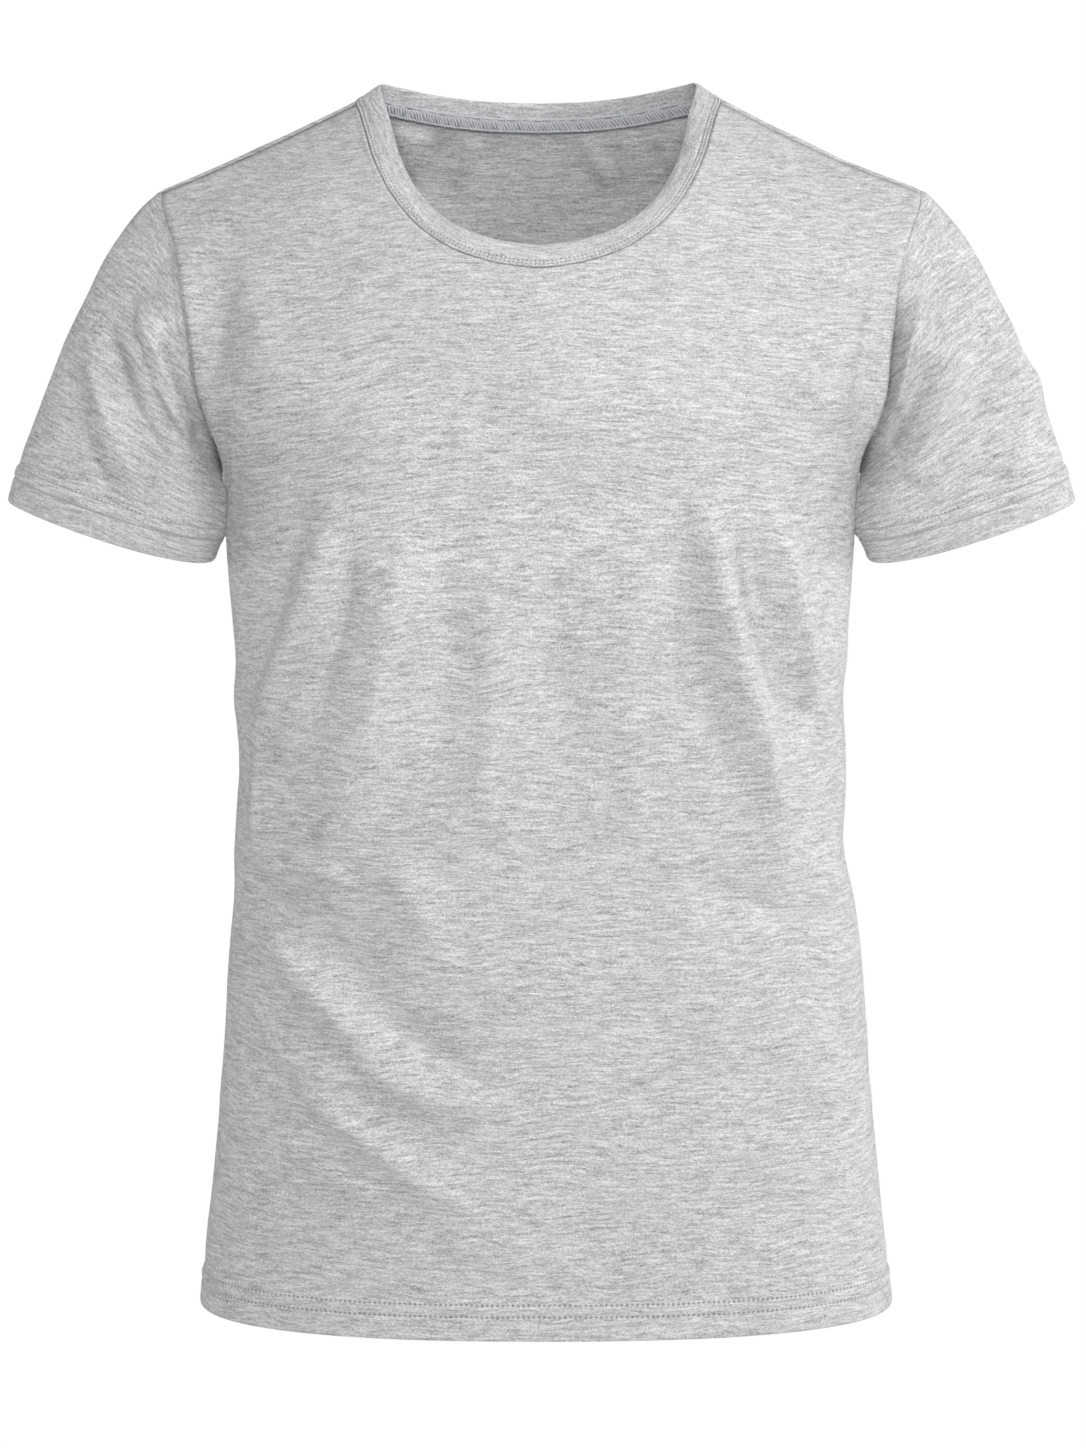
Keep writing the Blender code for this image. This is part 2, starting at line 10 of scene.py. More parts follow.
import bpy
import numpy as np
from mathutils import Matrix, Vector


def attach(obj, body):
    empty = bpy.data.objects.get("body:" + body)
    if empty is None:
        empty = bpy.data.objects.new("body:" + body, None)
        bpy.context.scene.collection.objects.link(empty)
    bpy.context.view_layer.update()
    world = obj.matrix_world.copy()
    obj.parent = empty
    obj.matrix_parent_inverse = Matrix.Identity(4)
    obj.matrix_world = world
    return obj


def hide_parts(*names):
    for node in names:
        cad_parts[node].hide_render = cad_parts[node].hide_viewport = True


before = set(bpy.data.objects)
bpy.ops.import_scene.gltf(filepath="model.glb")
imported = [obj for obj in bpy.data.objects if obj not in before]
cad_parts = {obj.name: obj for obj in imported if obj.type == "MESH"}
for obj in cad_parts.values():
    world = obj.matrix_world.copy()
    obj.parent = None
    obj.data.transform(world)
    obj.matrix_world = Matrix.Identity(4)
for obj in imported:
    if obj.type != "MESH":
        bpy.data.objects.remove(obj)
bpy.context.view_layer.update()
MM = 0.001

# ---------------------------------------------------------------------------
# Studio. A pale floor as far below the neck as a man's shoulders stand over it.
# Round soft lamps: most light comes from the front and high on the wearer's left, less
# from above, and three lamps behind light both edges and the back.

CAMERA_RANGE = 2.6
CAMERA_AIM = Vector((0.0, 0.0, -0.3643))
CAMERA_RISE = math.radians(5.17)
CAMERA_LENS = 111.88
CAMERA_SHIFT = 0.001036
CAMERA_SENSOR = 36
FLOOR_DROP = 1.44
FLOOR_REACH = 14.0
FLOOR_GREY = 0.93
FLOOR_ROUGHNESS = 0.9
LAMPS = {                    # where it stands, how wide it is and its power in watts
    "front_light": (0.0, -1.9, 0.25, 0.6, 21.5),
    "left_front_light": (-1.6, -1.8, 0.6, 1.0, 2.5),
    "high_light": (1.27, -1.81, 1.19, 1.0, 12.5),
    "side_light": (2.0, -0.9, 1.2, 0.8, 19.5),
    "top_light": (0.0, -0.2, 2.2, 1.0, 6.0),
    "rim_light": (2.3, 0.7, -0.2, 1.0, 27.0),
    "far_rim_light": (-2.3, 0.7, -0.2, 1.0, 15.5),
    "back_light": (0.0, 2.4, 0.6, 1.0, 30.0),
}
SURROUND = 0.12


def aim(thing, target):
    """Turn a camera or lamp to look at a point."""
    thing.rotation_euler = (target - thing.location).to_track_quat("-Z", "Y").to_euler()


def place(name, data):
    """A new object in the scene."""
    thing = bpy.data.objects.new(name, data)
    bpy.context.scene.collection.objects.link(thing)
    return thing


camera_data = bpy.data.cameras.new("camera")
camera_data.lens = CAMERA_LENS
camera_data.sensor_width = CAMERA_SENSOR
camera_data.shift_x = CAMERA_SHIFT
camera = place("camera", camera_data)
camera.location = CAMERA_AIM + CAMERA_RANGE * Vector(
    (0, -math.cos(CAMERA_RISE), math.sin(CAMERA_RISE))
)
aim(camera, CAMERA_AIM)
bpy.context.scene.camera = camera

for lamp_name, (x, y, z, wide, power) in LAMPS.items():
    lamp_data = bpy.data.lights.new(lamp_name, "AREA")
    lamp_data.shape = "DISK"
    lamp_data.size = wide
    lamp_data.energy = power
    lamp = place(lamp_name, lamp_data)
    lamp.location = (x, y, z)
    aim(lamp, CAMERA_AIM)


def white_to_camera(tree, lit, target):
    """Show plain white to the camera, and what is lit to everything else."""
    white = tree.nodes.new("ShaderNodeEmission")
    path = tree.nodes.new("ShaderNodeLightPath")
    pick = tree.nodes.new("ShaderNodeMixShader")
    tree.links.new(path.outputs["Is Camera Ray"], pick.inputs["Fac"])
    tree.links.new(lit.outputs[0], pick.inputs[1])
    tree.links.new(white.outputs[0], pick.inputs[2])
    tree.links.new(pick.outputs[0], target.inputs["Surface"])


world = bpy.data.worlds.new("studio")
bpy.context.scene.world = world
world.use_nodes = True
surround = world.node_tree.nodes["Background"]
surround.inputs["Color"].default_value = (1, 1, 1, 1)
surround.inputs["Strength"].default_value = SURROUND
white_to_camera(world.node_tree, surround, world.node_tree.nodes["World Output"])
bpy.context.scene.view_settings.view_transform = "Standard"

floor_mesh = bpy.data.meshes.new("floor")
floor_mesh.from_pydata(
    [(x * FLOOR_REACH, y * FLOOR_REACH, -FLOOR_DROP)
     for x, y in ((-1, -1), (1, -1), (1, 1), (-1, 1))],
    [],
    [(0, 1, 2, 3)],
)
floor_paint = bpy.data.materials.new("floor_paint")
floor_paint.use_nodes = True
floor_shader = floor_paint.node_tree.nodes["Principled BSDF"]
floor_shader.inputs["Base Color"].default_value = (FLOOR_GREY, FLOOR_GREY, FLOOR_GREY, 1)
floor_shader.inputs["Roughness"].default_value = FLOOR_ROUGHNESS
white_to_camera(floor_paint.node_tree, floor_shader,
                floor_paint.node_tree.nodes["Material Output"])
floor_mesh.materials.append(floor_paint)
floor = place("floor", floor_mesh)

# ---------------------------------------------------------------------------
# Front and back. Two panels of single jersey, joined at the shoulders and sides,
# each cut with its own neckline.  The lower edge is turned up once and held by two
# rows of stitching; the cloth hangs in soft folds from the chest and the armholes.

JERSEY = 1.0 * MM
HEM_WALL = 1.9 * MM
SEAM_GAP = 0.3 * MM
HEM = -700.0 * MM
UNDERARM = -230.0 * MM
SIDE_ROUND = 2.4
ARCH_REACH = 240.0 * MM
ARCH_ROUND = 1.75
SHOULDER_APEX = 41.5 * MM
SHOULDER_SLOPE = 0.458
SHOULDER_EASE = 30.0 * MM
SHOULDER_POINT = 216.9 * MM
SHOULDER_SAG = {-1: 1.8 * MM, 1: 3.0 * MM}
NECK_SHIFT = -1.8 * MM
OUTWARD = {"front": 1, "back": -1}
SEAM_TILT = 0.5
TILT_REACH = 18.0 * MM


def named(names, rows):
    """Columns of a table by name: millimetres made metres, or thousandths made shares."""
    return dict(zip(names.split(), np.array(rows, float).T * MM))


BODY = named("height right left front back", (
    (-700, 198.8, 204.2, 118, 113),
    (-679, 196.6, 201.8, 116, 112),
    (-643, 192.8, 197.5, 113, 109),
    (-608, 189.1, 194.3, 112, 107),
    (-572, 185.9, 190.6, 111, 105),
    (-537, 183.4, 188.6, 110, 103),
    (-502, 181.2, 185.6, 110, 101),
    (-467, 178.2, 181.4, 109, 100),
    (-432, 176.8, 174.6, 109, 100),
    (-408, 174.8, 175.2, 110, 101),
    (-379, 171.6, 175.6, 112, 103),
    (-350, 174.9, 173.4, 113, 104),
    (-327, 175.2, 174.6, 114, 106),
    (-292, 177.2, 177.2, 116, 108),
    (-262, 179.6, 179.0, 117, 110),
    (-230, 180.8, 180.4, 117, 111),
    (-214, 181.2, 180.8, 117, 112),
    (-202, 183.5, 182.9, 117, 112),
    (-190, 187.0, 186.2, 117, 112),
    (-172, 191.0, 191.0, 117, 112),
    (-150, 193.6, 193.8, 116, 112),
    (-130, 196.4, 196.2, 115, 111),
    (-112, 200.2, 199.0, 114, 110),
    (-90, 206.0, 205.4, 112, 109),
    (-75, 210.8, 210.0, 110, 108),
    (-57, 216.9, 216.9, 108, 107),
    (0, 226.0, 226.0, 102, 104),
    (50, 232.0, 232.0, 100, 102),
))
# Above the underarm a level cut runs on past the armhole, by so many thousandths.
SPREAD = named("height share", (
    (-230, 0), (-223, 7), (-213, 22), (-200, 42), (-180, 76), (-160, 105),
    (-140, 135), (-107, 190), (-75, 232), (-57, 250), (0, 275), (50, 300),
))
# Neckline from the shoulder to its middle: along the cloth, across, and down.
NECKLINE = {
    "front": named("along across drop", (
        (0, 104.1, 0),
        (12, 102.0, 2.1),
        (28, 99.0, 10.2),
        (60, 92.2, 36.5),
        (88, 81.5, 63.1),
        (115, 64.9, 89.3),
        (143, 41.2, 112.8),
        (166, 17.4, 126.5),
        (184, 0, 130.4),
    )),
    "back": named("along across drop", (
        (0, 104.1, 0),
        (17, 101.0, 5.4),
        (29, 93.4, 12.6),
        (42, 82.6, 19.3),
        (59, 66.0, 28.4),
        (81, 45.0, 38.5),
        (107, 20.0, 47.6),
        (127, 0, 50.6),
    )),
}
NECK_TURN = 12               # steps from the middle of the neck to the shoulder
PANEL_TURN = 18              # and on to the armhole
PLACES_PER_STEP = 5
RISING_ROWS = 96
PLAIN_ROWS = 130

# The turned-up edge in section: height over the edge, and how far it stands out.
# Each row of stitches draws it in, with a soft roll between the two.
BODY_EDGE = named("up out", (
    (0, -0.5), (0.5, -0.1), (1.4, 0.2), (3.5, 0.35), (6.0, 0.35),
    (8.5, 0.4), (10.8, 0.45), (12.1, 0.3), (12.9, -0.15), (13.3, -0.3),
    (13.7, -0.1), (14.6, 0.4), (16.2, 0.75), (17.9, 0.8), (19.0, 0.55),
    (19.6, 0.1), (20.0, -0.2), (20.5, -0.35), (21.5, -0.3), (23.0, -0.35),
    (26.0, -0.3), (30.0, -0.1),
))

LOWER_ROWS = len(BODY_EDGE["up"]) + PLAIN_ROWS

# Folds: height over the cloth (troughs are below zero), width of the slope to the
# wearer's right or below, and of the other slope, then three points of the crest,
# across and up.
FRONT_FOLDS = (
    # from the chest down to the waist
    (14.5, 8.5, 13, -108, -210, -131, -304, -162, -384),
    (-7.5, 9, 8, -125, -216, -149, -300, -175, -376),
    (24, 32, 10.5, -79, -208, -85, -336, -136, -448),
    (-5, 6.2, 6.2, -103, -232, -107, -309, -131, -390),
    (8.5, 6.2, 5.3, -150, -356, -154, -401, -160, -440),
    (-5, 11.4, 11.4, -55, -226, -54, -308, -56, -380),
    (6.2, 11.4, 11.4, -28, -246, -28, -341, -30, -450),
    (-4.2, 12.3, 12.3, 7, -236, 8, -330, 8, -440),
    (4.6, 11.4, 13.2, 50, -222, 50, -330, 56, -452),
    (-6.9, 7.9, 7, 77, -226, 83, -308, 106, -404),
    (19, 9.7, 10, 86, -208, 106, -317, 147, -450),
    (-8.5, 8, 7.5, 106, -220, 123, -304, 145, -374),
    (15, 8, 8.8, 120, -212, 139, -296, 162, -388),
    # across the chest and beside the armholes
    (5.6, 21.1, 21.1, -30, -176, 38, -182, 104, -202),
    (-6.4, 17.6, 17.6, -30, -216, 43, -230, 104, -238),
    (6, 26, 22, -190, -158, -134, -170, -66, -236),
    (-4.5, 8, 9, -182, -90, -179, -137, -188, -176),
    (4.5, 9, 9, -163, -86, -160, -126, -136, -156),
    (7, 4.4, 8, -206, -82, -196, -132, -185, -204),
    (5.2, 3, 3, 203, -70, 193, -149, 181, -222),
    (-3.8, 4.4, 5.3, 192, -84, 184, -140, 172, -200),
    (6.5, 7, 6, 122, -160, 152, -172, 172, -198),
    # drawn in at the waist, and slanting to the hem
    (7, 6.2, 6.2, -180, -446, -135, -438, -100, -447),
    (8.1, 17.6, 8.8, -96, -422, -65, -461, -52, -504),
    (-10.8, 8.8, 15, -178, -440, -129, -475, -80, -518),
    (19, 11.4, 10.6, -162, -462, -124, -503, -76, -556),
    (-10, 7, 11, -112, -490, -69, -535, -8, -566),
    (16, 8.8, 10.6, -108, -528, -68, -561, 6, -568),
    (7.5, 5.3, 5.3, -166, -516, -136, -546, -84, -560),
    (16.5, 9.7, 8.8, -144, -548, -99, -585, -14, -646),
    (8.5, 7, 7, -154, -576, -119, -608, -70, -628),
    (3.6, 12, 13, 22, -611, 55, -622, 94, -619),
    (5.1, 8.8, 8.8, -72, -632, -29, -649, 20, -643),
    (-8.1, 8.8, 12.3, 74, -438, 122, -458, 182, -474),
)
BACK_FOLDS = (
    (8.5, 10, 11, -92, -190, -110, -300, -146, -400),
    (-4.6, 8, 9, -116, -210, -128, -300, -158, -372),
    (6.5, 9, 8, -58, -150, -66, -260, -92, -360),
    (8.4, 11, 10, 88, -180, 104, -290, 148, -384),
    (-4.9, 8, 8, 112, -200, 124, -290, 160, -360),
    (-3.4, 13, 13, -24, -120, -14, -220, -30, -330),
    (3, 12, 12, 14, -140, 20, -240, 12, -350),
    (4.6, 10, 10, 48, -150, 52, -250, 74, -350),
    (8.7, 10, 11, 170, -446, 118, -486, 50, -548),
    (-5.3, 14, 9, 172, -430, 112, -456, 58, -506),
    (5.7, 8, 9, 158, -520, 110, -556, 40, -612),
    (8, 10, 10, -170, -440, -118, -484, -62, -540),
    (-4.6, 9, 13, -160, -424, -106, -458, -60, -500),
    (5.3, 9, 9, -158, -548, -104, -588, -34, -622),
    (4.2, 12, 11, 148, -596, 92, -634, 26, -660),
    (3, 10, 10, -150, -620, -96, -646, -40, -664),
    (4.9, 18, 14, -170, -150, -120, -176, -70, -196),
    (4.6, 14, 18, 66, -190, 118, -172, 172, -150),
    # gathered a little under the neck
    (-3.6, 3.4, 4.6, -72, -6, -81, -22, -88, -34),
    (-6, 4.6, 5.8, -62, -12, -74, -32, -84, -52),
    (-2.9, 4.6, 4.6, -36, -16, -43, -39, -50, -64),
    (3.6, 6.9, 6.9, -52, -18, -60, -44, -70, -74),
    (-1.9, 5.8, 5.8, 4, -24, 2, -46, -2, -76),
    (-4.3, 4.6, 4.6, 25, -20, 32, -38, 42, -58),
    (3.1, 6.9, 6.9, 38, -18, 44, -42, 48, -72),
    (-4.3, 4.6, 4.6, 52, -16, 48, -38, 42, -60),
    (-3.6, 4.6, 5.8, 70, -12, 74, -30, 84, -50),
)
FOLDS = {"front": FRONT_FOLDS, "back": BACK_FOLDS}

# Slight unevenness all over: height, length from crest to crest, turn in degrees
# from level, and where the first crest lies.
UNEVEN = (
    (0.30, 96, 12, 10),
    (0.26, 74, 68, 31),
    (0.22, 58, -37, 4),
    (0.18, 43, 101, 22),
    (0.15, 36, 25, 13),
    (0.12, 29, -62, 7),
)
UNEVEN_DEPTH = 0.35          # share by which the waves also run on from front to back


def smooth(at, stops, values):
    """Smooth curve through the stops, level beyond both ends."""
    at = np.clip(at, stops[0], stops[-1])
    slopes = np.gradient(values, stops)
    low = np.clip(np.searchsorted(stops, at, side="right") - 1, 0, len(stops) - 2)
    step = stops[low + 1] - stops[low]
    t = (at - stops[low]) / step
    rise = values[low + 1] - values[low]
    a = slopes[low] * step - rise
    b = rise - slopes[low + 1] * step
    return values[low] + t * rise + t * (1 - t) * ((1 - t) * a + t * b)


def body(wanted, height):
    """A named column of the body table at any height."""
    return smooth(height, BODY["height"], BODY[wanted])


def ease(value):
    """Soft step from 0 to 1."""
    value = np.clip(value, 0, 1)
    return value * value * (3 - 2 * value)


def unit(vectors):
    """The same vectors, one long."""
    length = np.linalg.norm(vectors, axis=-1, keepdims=True)
    return vectors / np.maximum(length, 1e-12)


def half_width(side, height):
    """From the middle to the side seam or armhole; side is below or above zero."""
    return np.where(side < 0, body("right", height), body("left", height))


def shoulder_height(across):
    """Height of the shoulder seam, carried on over the neck."""
    moved = across - NECK_SHIFT * (1 - ease(np.abs(across) / SHOULDER_POINT))
    line = SHOULDER_APEX - SHOULDER_SLOPE * np.sqrt(moved ** 2 + SHOULDER_EASE ** 2)
    start = NECKLINE["front"]["across"][0]
    share = np.clip((np.abs(across) - start) / (SHOULDER_POINT - start), 0, 1)
    sag = np.where(across < 0, SHOULDER_SAG[-1], SHOULDER_SAG[1])
    return line - sag * np.sin(math.pi * share)


def cloth_at(face, across, height):
    """Points of the outer side of the front or back, without its folds."""
    share = 1 + np.maximum(smooth(height, SPREAD["height"], SPREAD["share"]), 0)
    side = 1 - np.clip(np.abs(across) / (half_width(across, height) * share), 0, 1) ** SIDE_ROUND
    side = np.where(side < 1e-9, 0, side) ** (1 / SIDE_ROUND)
    drop = np.clip(shoulder_height(across) - height, 0, ARCH_REACH)
    drop = np.where(drop < 1e-9, 0, drop)
    arch = (1 - (1 - drop / ARCH_REACH) ** ARCH_ROUND) ** (1 / ARCH_ROUND)
    depth = SEAM_GAP / 2 + body(face, height) * side * arch
    depth = -OUTWARD[face] * depth
    raised = height + SEAM_TILT * depth * np.exp(-drop / TILT_REACH)
    return np.stack([across, depth, raised], axis=-1)


def top_edge(face, turn, side):
    """Upper edge of a panel, counted in steps from the middle out to the armhole."""
    along, across, drop = NECKLINE[face].values()
    both = np.concatenate([along, 2 * along[-1] - along[-2::-1]])
    place_on = along[-1] * (1 - turn / NECK_TURN)
    neck_x = side * smooth(place_on, both, np.concatenate([across, -across[-2::-1]])) + NECK_SHIFT
    down = smooth(place_on, both, np.concatenate([drop, drop[-2::-1]]))
    start = side * across[0] + NECK_SHIFT
    share = (turn - NECK_TURN) / (PANEL_TURN - NECK_TURN)
    at_neck = turn <= NECK_TURN
    x = np.where(at_neck, neck_x, start + (side * SHOULDER_POINT - start) * share)
    return x, shoulder_height(x) - np.where(at_neck, down, 0)


def panel_plan(face):
    """Across and height of every point of a panel, in rows from the hem up."""
    turn = np.arange(-PANEL_TURN * PLACES_PER_STEP, PANEL_TURN * PLACES_PER_STEP + 1)
    side = np.where(turn < 0, -1, 1)
    turn = np.abs(turn) / PLACES_PER_STEP
    top_x, top_z = top_edge(face, turn, side)
    edge = HEM + BODY_EDGE["up"]
    lower = np.concatenate([edge, np.linspace(edge[-1], UNDERARM, PLAIN_ROWS + 1)[1:]])[:, None]
    even = np.linspace(0, 1, RISING_ROWS + 1)[1:, None]      # closer together at both ends
    rising = 0.5 * even + 0.25 * (1 - np.cos(math.pi * even))
    share = side * np.sin(turn / PANEL_TURN * math.pi / 2)
    top_share = top_x / half_width(side, top_z)
    up = np.concatenate([lower + 0 * turn, UNDERARM + rising * (top_z - UNDERARM)])
    shares = np.concatenate([0 * lower + share, share + (top_share - share) * rising])
    return shares * half_width(side, up), up


def closed(points, axis=0):
    """A loop, or a grid of loops, with its first place once more at the end."""
    return np.concatenate([points, np.take(points, [0], axis=axis)], axis=axis)


def run_lengths(points, axis):
    """Length of cloth from the first point on, along rows or columns."""
    steps = np.linalg.norm(np.diff(points, axis=axis), axis=-1)
    start = np.zeros_like(np.take(steps, [0], axis=axis))
    return np.concatenate([start, np.cumsum(steps, axis=axis)], axis=axis)


def grid_normals(points, around=False):
    """Outward normals of a grid of rows, with columns counted to the +X side."""
    if around:
        wide = np.roll(points, -1, axis=1) - np.roll(points, 1, axis=1)
    else:
        wide = np.gradient(points, axis=1)
    return unit(np.cross(wide, np.gradient(points, axis=0)))


CREST_ROUND = 0.5            # of a slope's width
FOLD_PIECES = 14
FOLD_ENDS = (0.38, 0.38)     # of its length, over which a fold dies away at each end
FOLD_REACH = 5.0             # widths beyond which a slope no longer counts


def fold_heights(folds, points, dying=FOLD_ENDS):
    """Sum of soft ridges and troughs at every point."""
    total = np.zeros(points.shape[:-1])
    t = np.linspace(0, 1, FOLD_PIECES + 1)
    for rise, slope_near, slope_far, *crest in np.array(folds) * MM:
        first, second, third = np.reshape(crest, (3, 2, 1))
        run = first * (2 * t - 1) * (t - 1) + second * 4 * t * (1 - t) + third * t * (2 * t - 1)
        reach = FOLD_REACH * max(slope_near, slope_far)
        low, high = run.min(axis=1) - reach, run.max(axis=1) + reach
        x, z = points[..., 0], points[..., 2]
        near = np.nonzero((x > low[0]) & (x < high[0]) & (z > low[1]) & (z < high[1]))
        x, z = x[near], z[near]
        start, step = run[:, :-1, None], np.diff(run)[..., None]
        dx, dz = x - start[0], z - start[1]
        along = np.clip((dx * step[0] + dz * step[1]) / (step ** 2).sum(axis=0), 0, 1)
        away = np.hypot(dx - along * step[0], dz - along * step[1])
        piece = away.argmin(axis=0)
        nearest = piece, np.arange(len(x))
        best = away[nearest]
        at = (piece + along[nearest]) / FOLD_PIECES
        side = (step[0] * dz - step[1] * dx)[nearest]
        slope = np.where(side > 0, slope_far, slope_near)
        rounded = CREST_ROUND * slope
        fall = np.exp((rounded - np.hypot(best, rounded)) / slope)
        ends = ease(at / dying[0]) * ease((1 - at) / dying[1])
        total[near] += rise * fall * ends
    return total


def unevenness(points):
    """Low waves that cross each other all over the cloth."""
    total = np.zeros(points.shape[:-1])
    for rise, length, turn, start in UNEVEN:
        turn = math.radians(turn)
        run = points[..., 0] * math.cos(turn) + points[..., 2] * math.sin(turn)
        run = run + UNEVEN_DEPTH * points[..., 1]
        total = total + rise * MM * np.sin(2 * math.pi * (run / MM - start) / length)
    return total


# Folds die away over these distances from the side seams (unless the edge is the open
# armhole), the upper edge and the hem.  The cloth sinks into its seams and rolls beside them.
SIDE_CALM = 20 * MM
ARMHOLE_CALM = 40 * MM
TOP_CALM = 14 * MM
HEM_CALM = 60 * MM
HEM_CALM_SHARE = 0.1
# Each: how deep or high, how far from the seam, how wide.
SIDE_SINK = (0.35 * MM, 0, 1.6 * MM)
TOP_ROLL = (0.35 * MM, 3.4 * MM, 1.8 * MM)
TOP_SINK = (0.3 * MM, 0, 1.2 * MM)
NECK_SINK = (0.7 * MM, 0, 1.2 * MM)


def bell(distance, high, at, wide):
    """A soft ridge at one distance, dying away over its width."""
    return high * np.exp(-(((distance - at) / wide) ** 2))


def panel_surface(face):
    """Outer points of the front or back, with folds, hem and the roll at its seams."""
    points = cloth_at(face, *panel_plan(face))
    along = run_lengths(points, 1)
    to_side = np.minimum(along, along[:, -1:] - along)
    up = run_lengths(points, 0)
    to_top = up[-1:] - up
    open_edge = ease((points[..., 2] - UNDERARM) / ARMHOLE_CALM)
    fade = np.maximum(ease(to_side / SIDE_CALM), open_edge)
    fade = fade * ease(to_top / TOP_CALM) * ease(up / HEM_CALM + HEM_CALM_SHARE)
    rise = (fold_heights(FOLDS[face], points) + unevenness(points)) * fade
    rise[:len(BODY_EDGE["out"])] += BODY_EDGE["out"][:, None]
    rise += bell(to_top, *TOP_ROLL) - bell(to_side, *SIDE_SINK)
    from_side = np.minimum(np.arange(points.shape[1]), np.arange(points.shape[1])[::-1])
    beside_neck = ease(from_side / PLACES_PER_STEP - (PANEL_TURN - NECK_TURN))
    rise -= bell(to_top, *TOP_SINK) + bell(to_top, *NECK_SINK) * beside_neck
    return points + grid_normals(points) * OUTWARD[face] * rise[..., None]


def panel_normals(face, points):
    """Outward normals, square to the side and shoulder seams at those edges."""
    normals = grid_normals(points) * OUTWARD[face]
    normals[:LOWER_ROWS, (0, -1), 1] = 0
    shoulder = (PANEL_TURN - NECK_TURN) * PLACES_PER_STEP + 1
    normals[-1, :shoulder, 1] = 0
    normals[-1, -shoulder:, 1] = 0
    return unit(normals)


PLAN_LAYERS = ("Grain", "Edge")      # places for the knit, and places for the stitch rows


def corners_of(rows, columns):
    """Row and column of the four corners of every face of a grid."""
    row, column = np.meshgrid(np.arange(rows), np.arange(columns), indexing="ij")
    return (row, column), (row, column + 1), (row + 1, column + 1), (row + 1, column)


def faces_at(corners, rows, columns):
    """Faces of a grid by their corners; past its last row or column comes the first."""
    return np.stack([a % rows * columns + b % columns for a, b in corners], -1).reshape(-1, 4)


def cloth_mesh(name, vertices, faces, rounded, plans, material):
    """An object of cloth or thread: which faces are rounded, and its places on the cloth."""
    mesh = bpy.data.meshes.new(name)
    mesh.from_pydata(vertices.reshape(-1, 3).tolist(), [], faces)
    mesh.polygons.foreach_set("use_smooth", rounded)
    for layer_name, plan in zip(PLAN_LAYERS, plans):
        layer = mesh.uv_layers.new(name=layer_name)
        layer.data.foreach_set("uv", plan.reshape(-1))
    mesh.materials.append(material)
    mesh.update()
    return place(name, mesh)


def shell(name, outer, inner, plans, material, around=False, flipped=False):
    """Closed wall of cloth between two grids of points, with its places on the cloth.
    The rows run up the outer side and down the inner side again."""
    rows, columns = outer.shape[:2]
    plan = np.concatenate(plans, axis=-1)
    plan = closed(np.concatenate([plan, plan[::-1]]))
    corners = corners_of(2 * rows, columns if around else columns - 1)
    faces = faces_at(corners, 2 * rows, columns)
    spread = np.stack([plan[a, b] for a, b in corners], 2).reshape(-1, 4, plan.shape[-1])
    rounded = corners[0][0].reshape(-1) % rows < rows - 1
    if not around:
        low = np.arange(rows - 1)
        edge = np.stack([low, low + 1, 2 * rows - 2 - low, 2 * rows - 1 - low], -1)
        for end, rim in ((0, edge), (columns - 1, edge[:, ::-1])):
            faces = np.concatenate([faces, rim * columns + end])
            spread = np.concatenate([spread, plan[rim, end]])
            rounded = np.concatenate([rounded, np.zeros(len(rim), bool)])
    if flipped:
        faces = faces[:, ::-1]
        spread = spread[:, ::-1]
    return cloth_mesh(name, np.concatenate([outer, inner[::-1]]), faces.tolist(), rounded,
                      (spread[..., :2], spread[..., 2:]), material)


class Link:
    """One output of a material's nodes. Sums and products of links add Math nodes."""

    def __init__(self, tree, output):
        self.tree = tree
        self.output = output

    def node(self, kind, settings, sockets, out=0):
        """Another node of the same tree: its settings first, then its sockets."""
        made = self.tree.nodes.new(kind)
        for name, value in settings.items():
            setattr(made, name, value)
        for name, value in sockets.items():
            if isinstance(value, Link):
                self.tree.links.new(value.output, made.inputs[name])
            else:
                made.inputs[name].default_value = value
        return Link(self.tree, made.outputs[out])

    def maths(self, operation, *values):
        """Math node on links and numbers."""
        return self.node("ShaderNodeMath", {"operation": operation}, dict(enumerate(values)))

    def __add__(self, other):
        return self.maths("ADD", self, other)

    def __sub__(self, other):
        return self.maths("SUBTRACT", self, other)

    def __rsub__(self, other):
        return self.maths("SUBTRACT", other, self)

    def __mul__(self, other):
        return self.maths("MULTIPLY", self, other)

    def __truediv__(self, other):
        return self.maths("DIVIDE", self, other)

    def __abs__(self):
        return self.maths("ABSOLUTE", self)

    def fraction(self):
        """What is left of it beyond whole numbers."""
        return self.maths("FRACT", self)

    def wave(self):
        """Sine of a number of turns."""
        return self.maths("SINE", self * (2 * math.pi))

    def cut(self, low, high):
        """0 below the low value, 1 above the high one, soft in between."""
        settings = {"interpolation_type": "SMOOTHSTEP"}
        sockets = {"Value": self, "From Min": low, "From Max": high}
        return self.node("ShaderNodeMapRange", settings, sockets)

    def colour(self, dark, light, shader):
        """Base colour between a dark and a light one."""
        settings = {"data_type": "RGBA"}
        mixed = self.node("ShaderNodeMix", settings, {0: self, 6: dark, 7: light}, out=2)
        self.tree.links.new(mixed.output, shader.inputs["Base Color"])

    def relief(self, strength, distance, shader):
        """Relief of the surface, as deep as the distance."""
        sockets = {"Strength": strength, "Distance": distance, "Height": self}
        bump = self.node("ShaderNodeBump", {}, sockets)
        self.tree.links.new(bump.output, shader.inputs["Normal"])


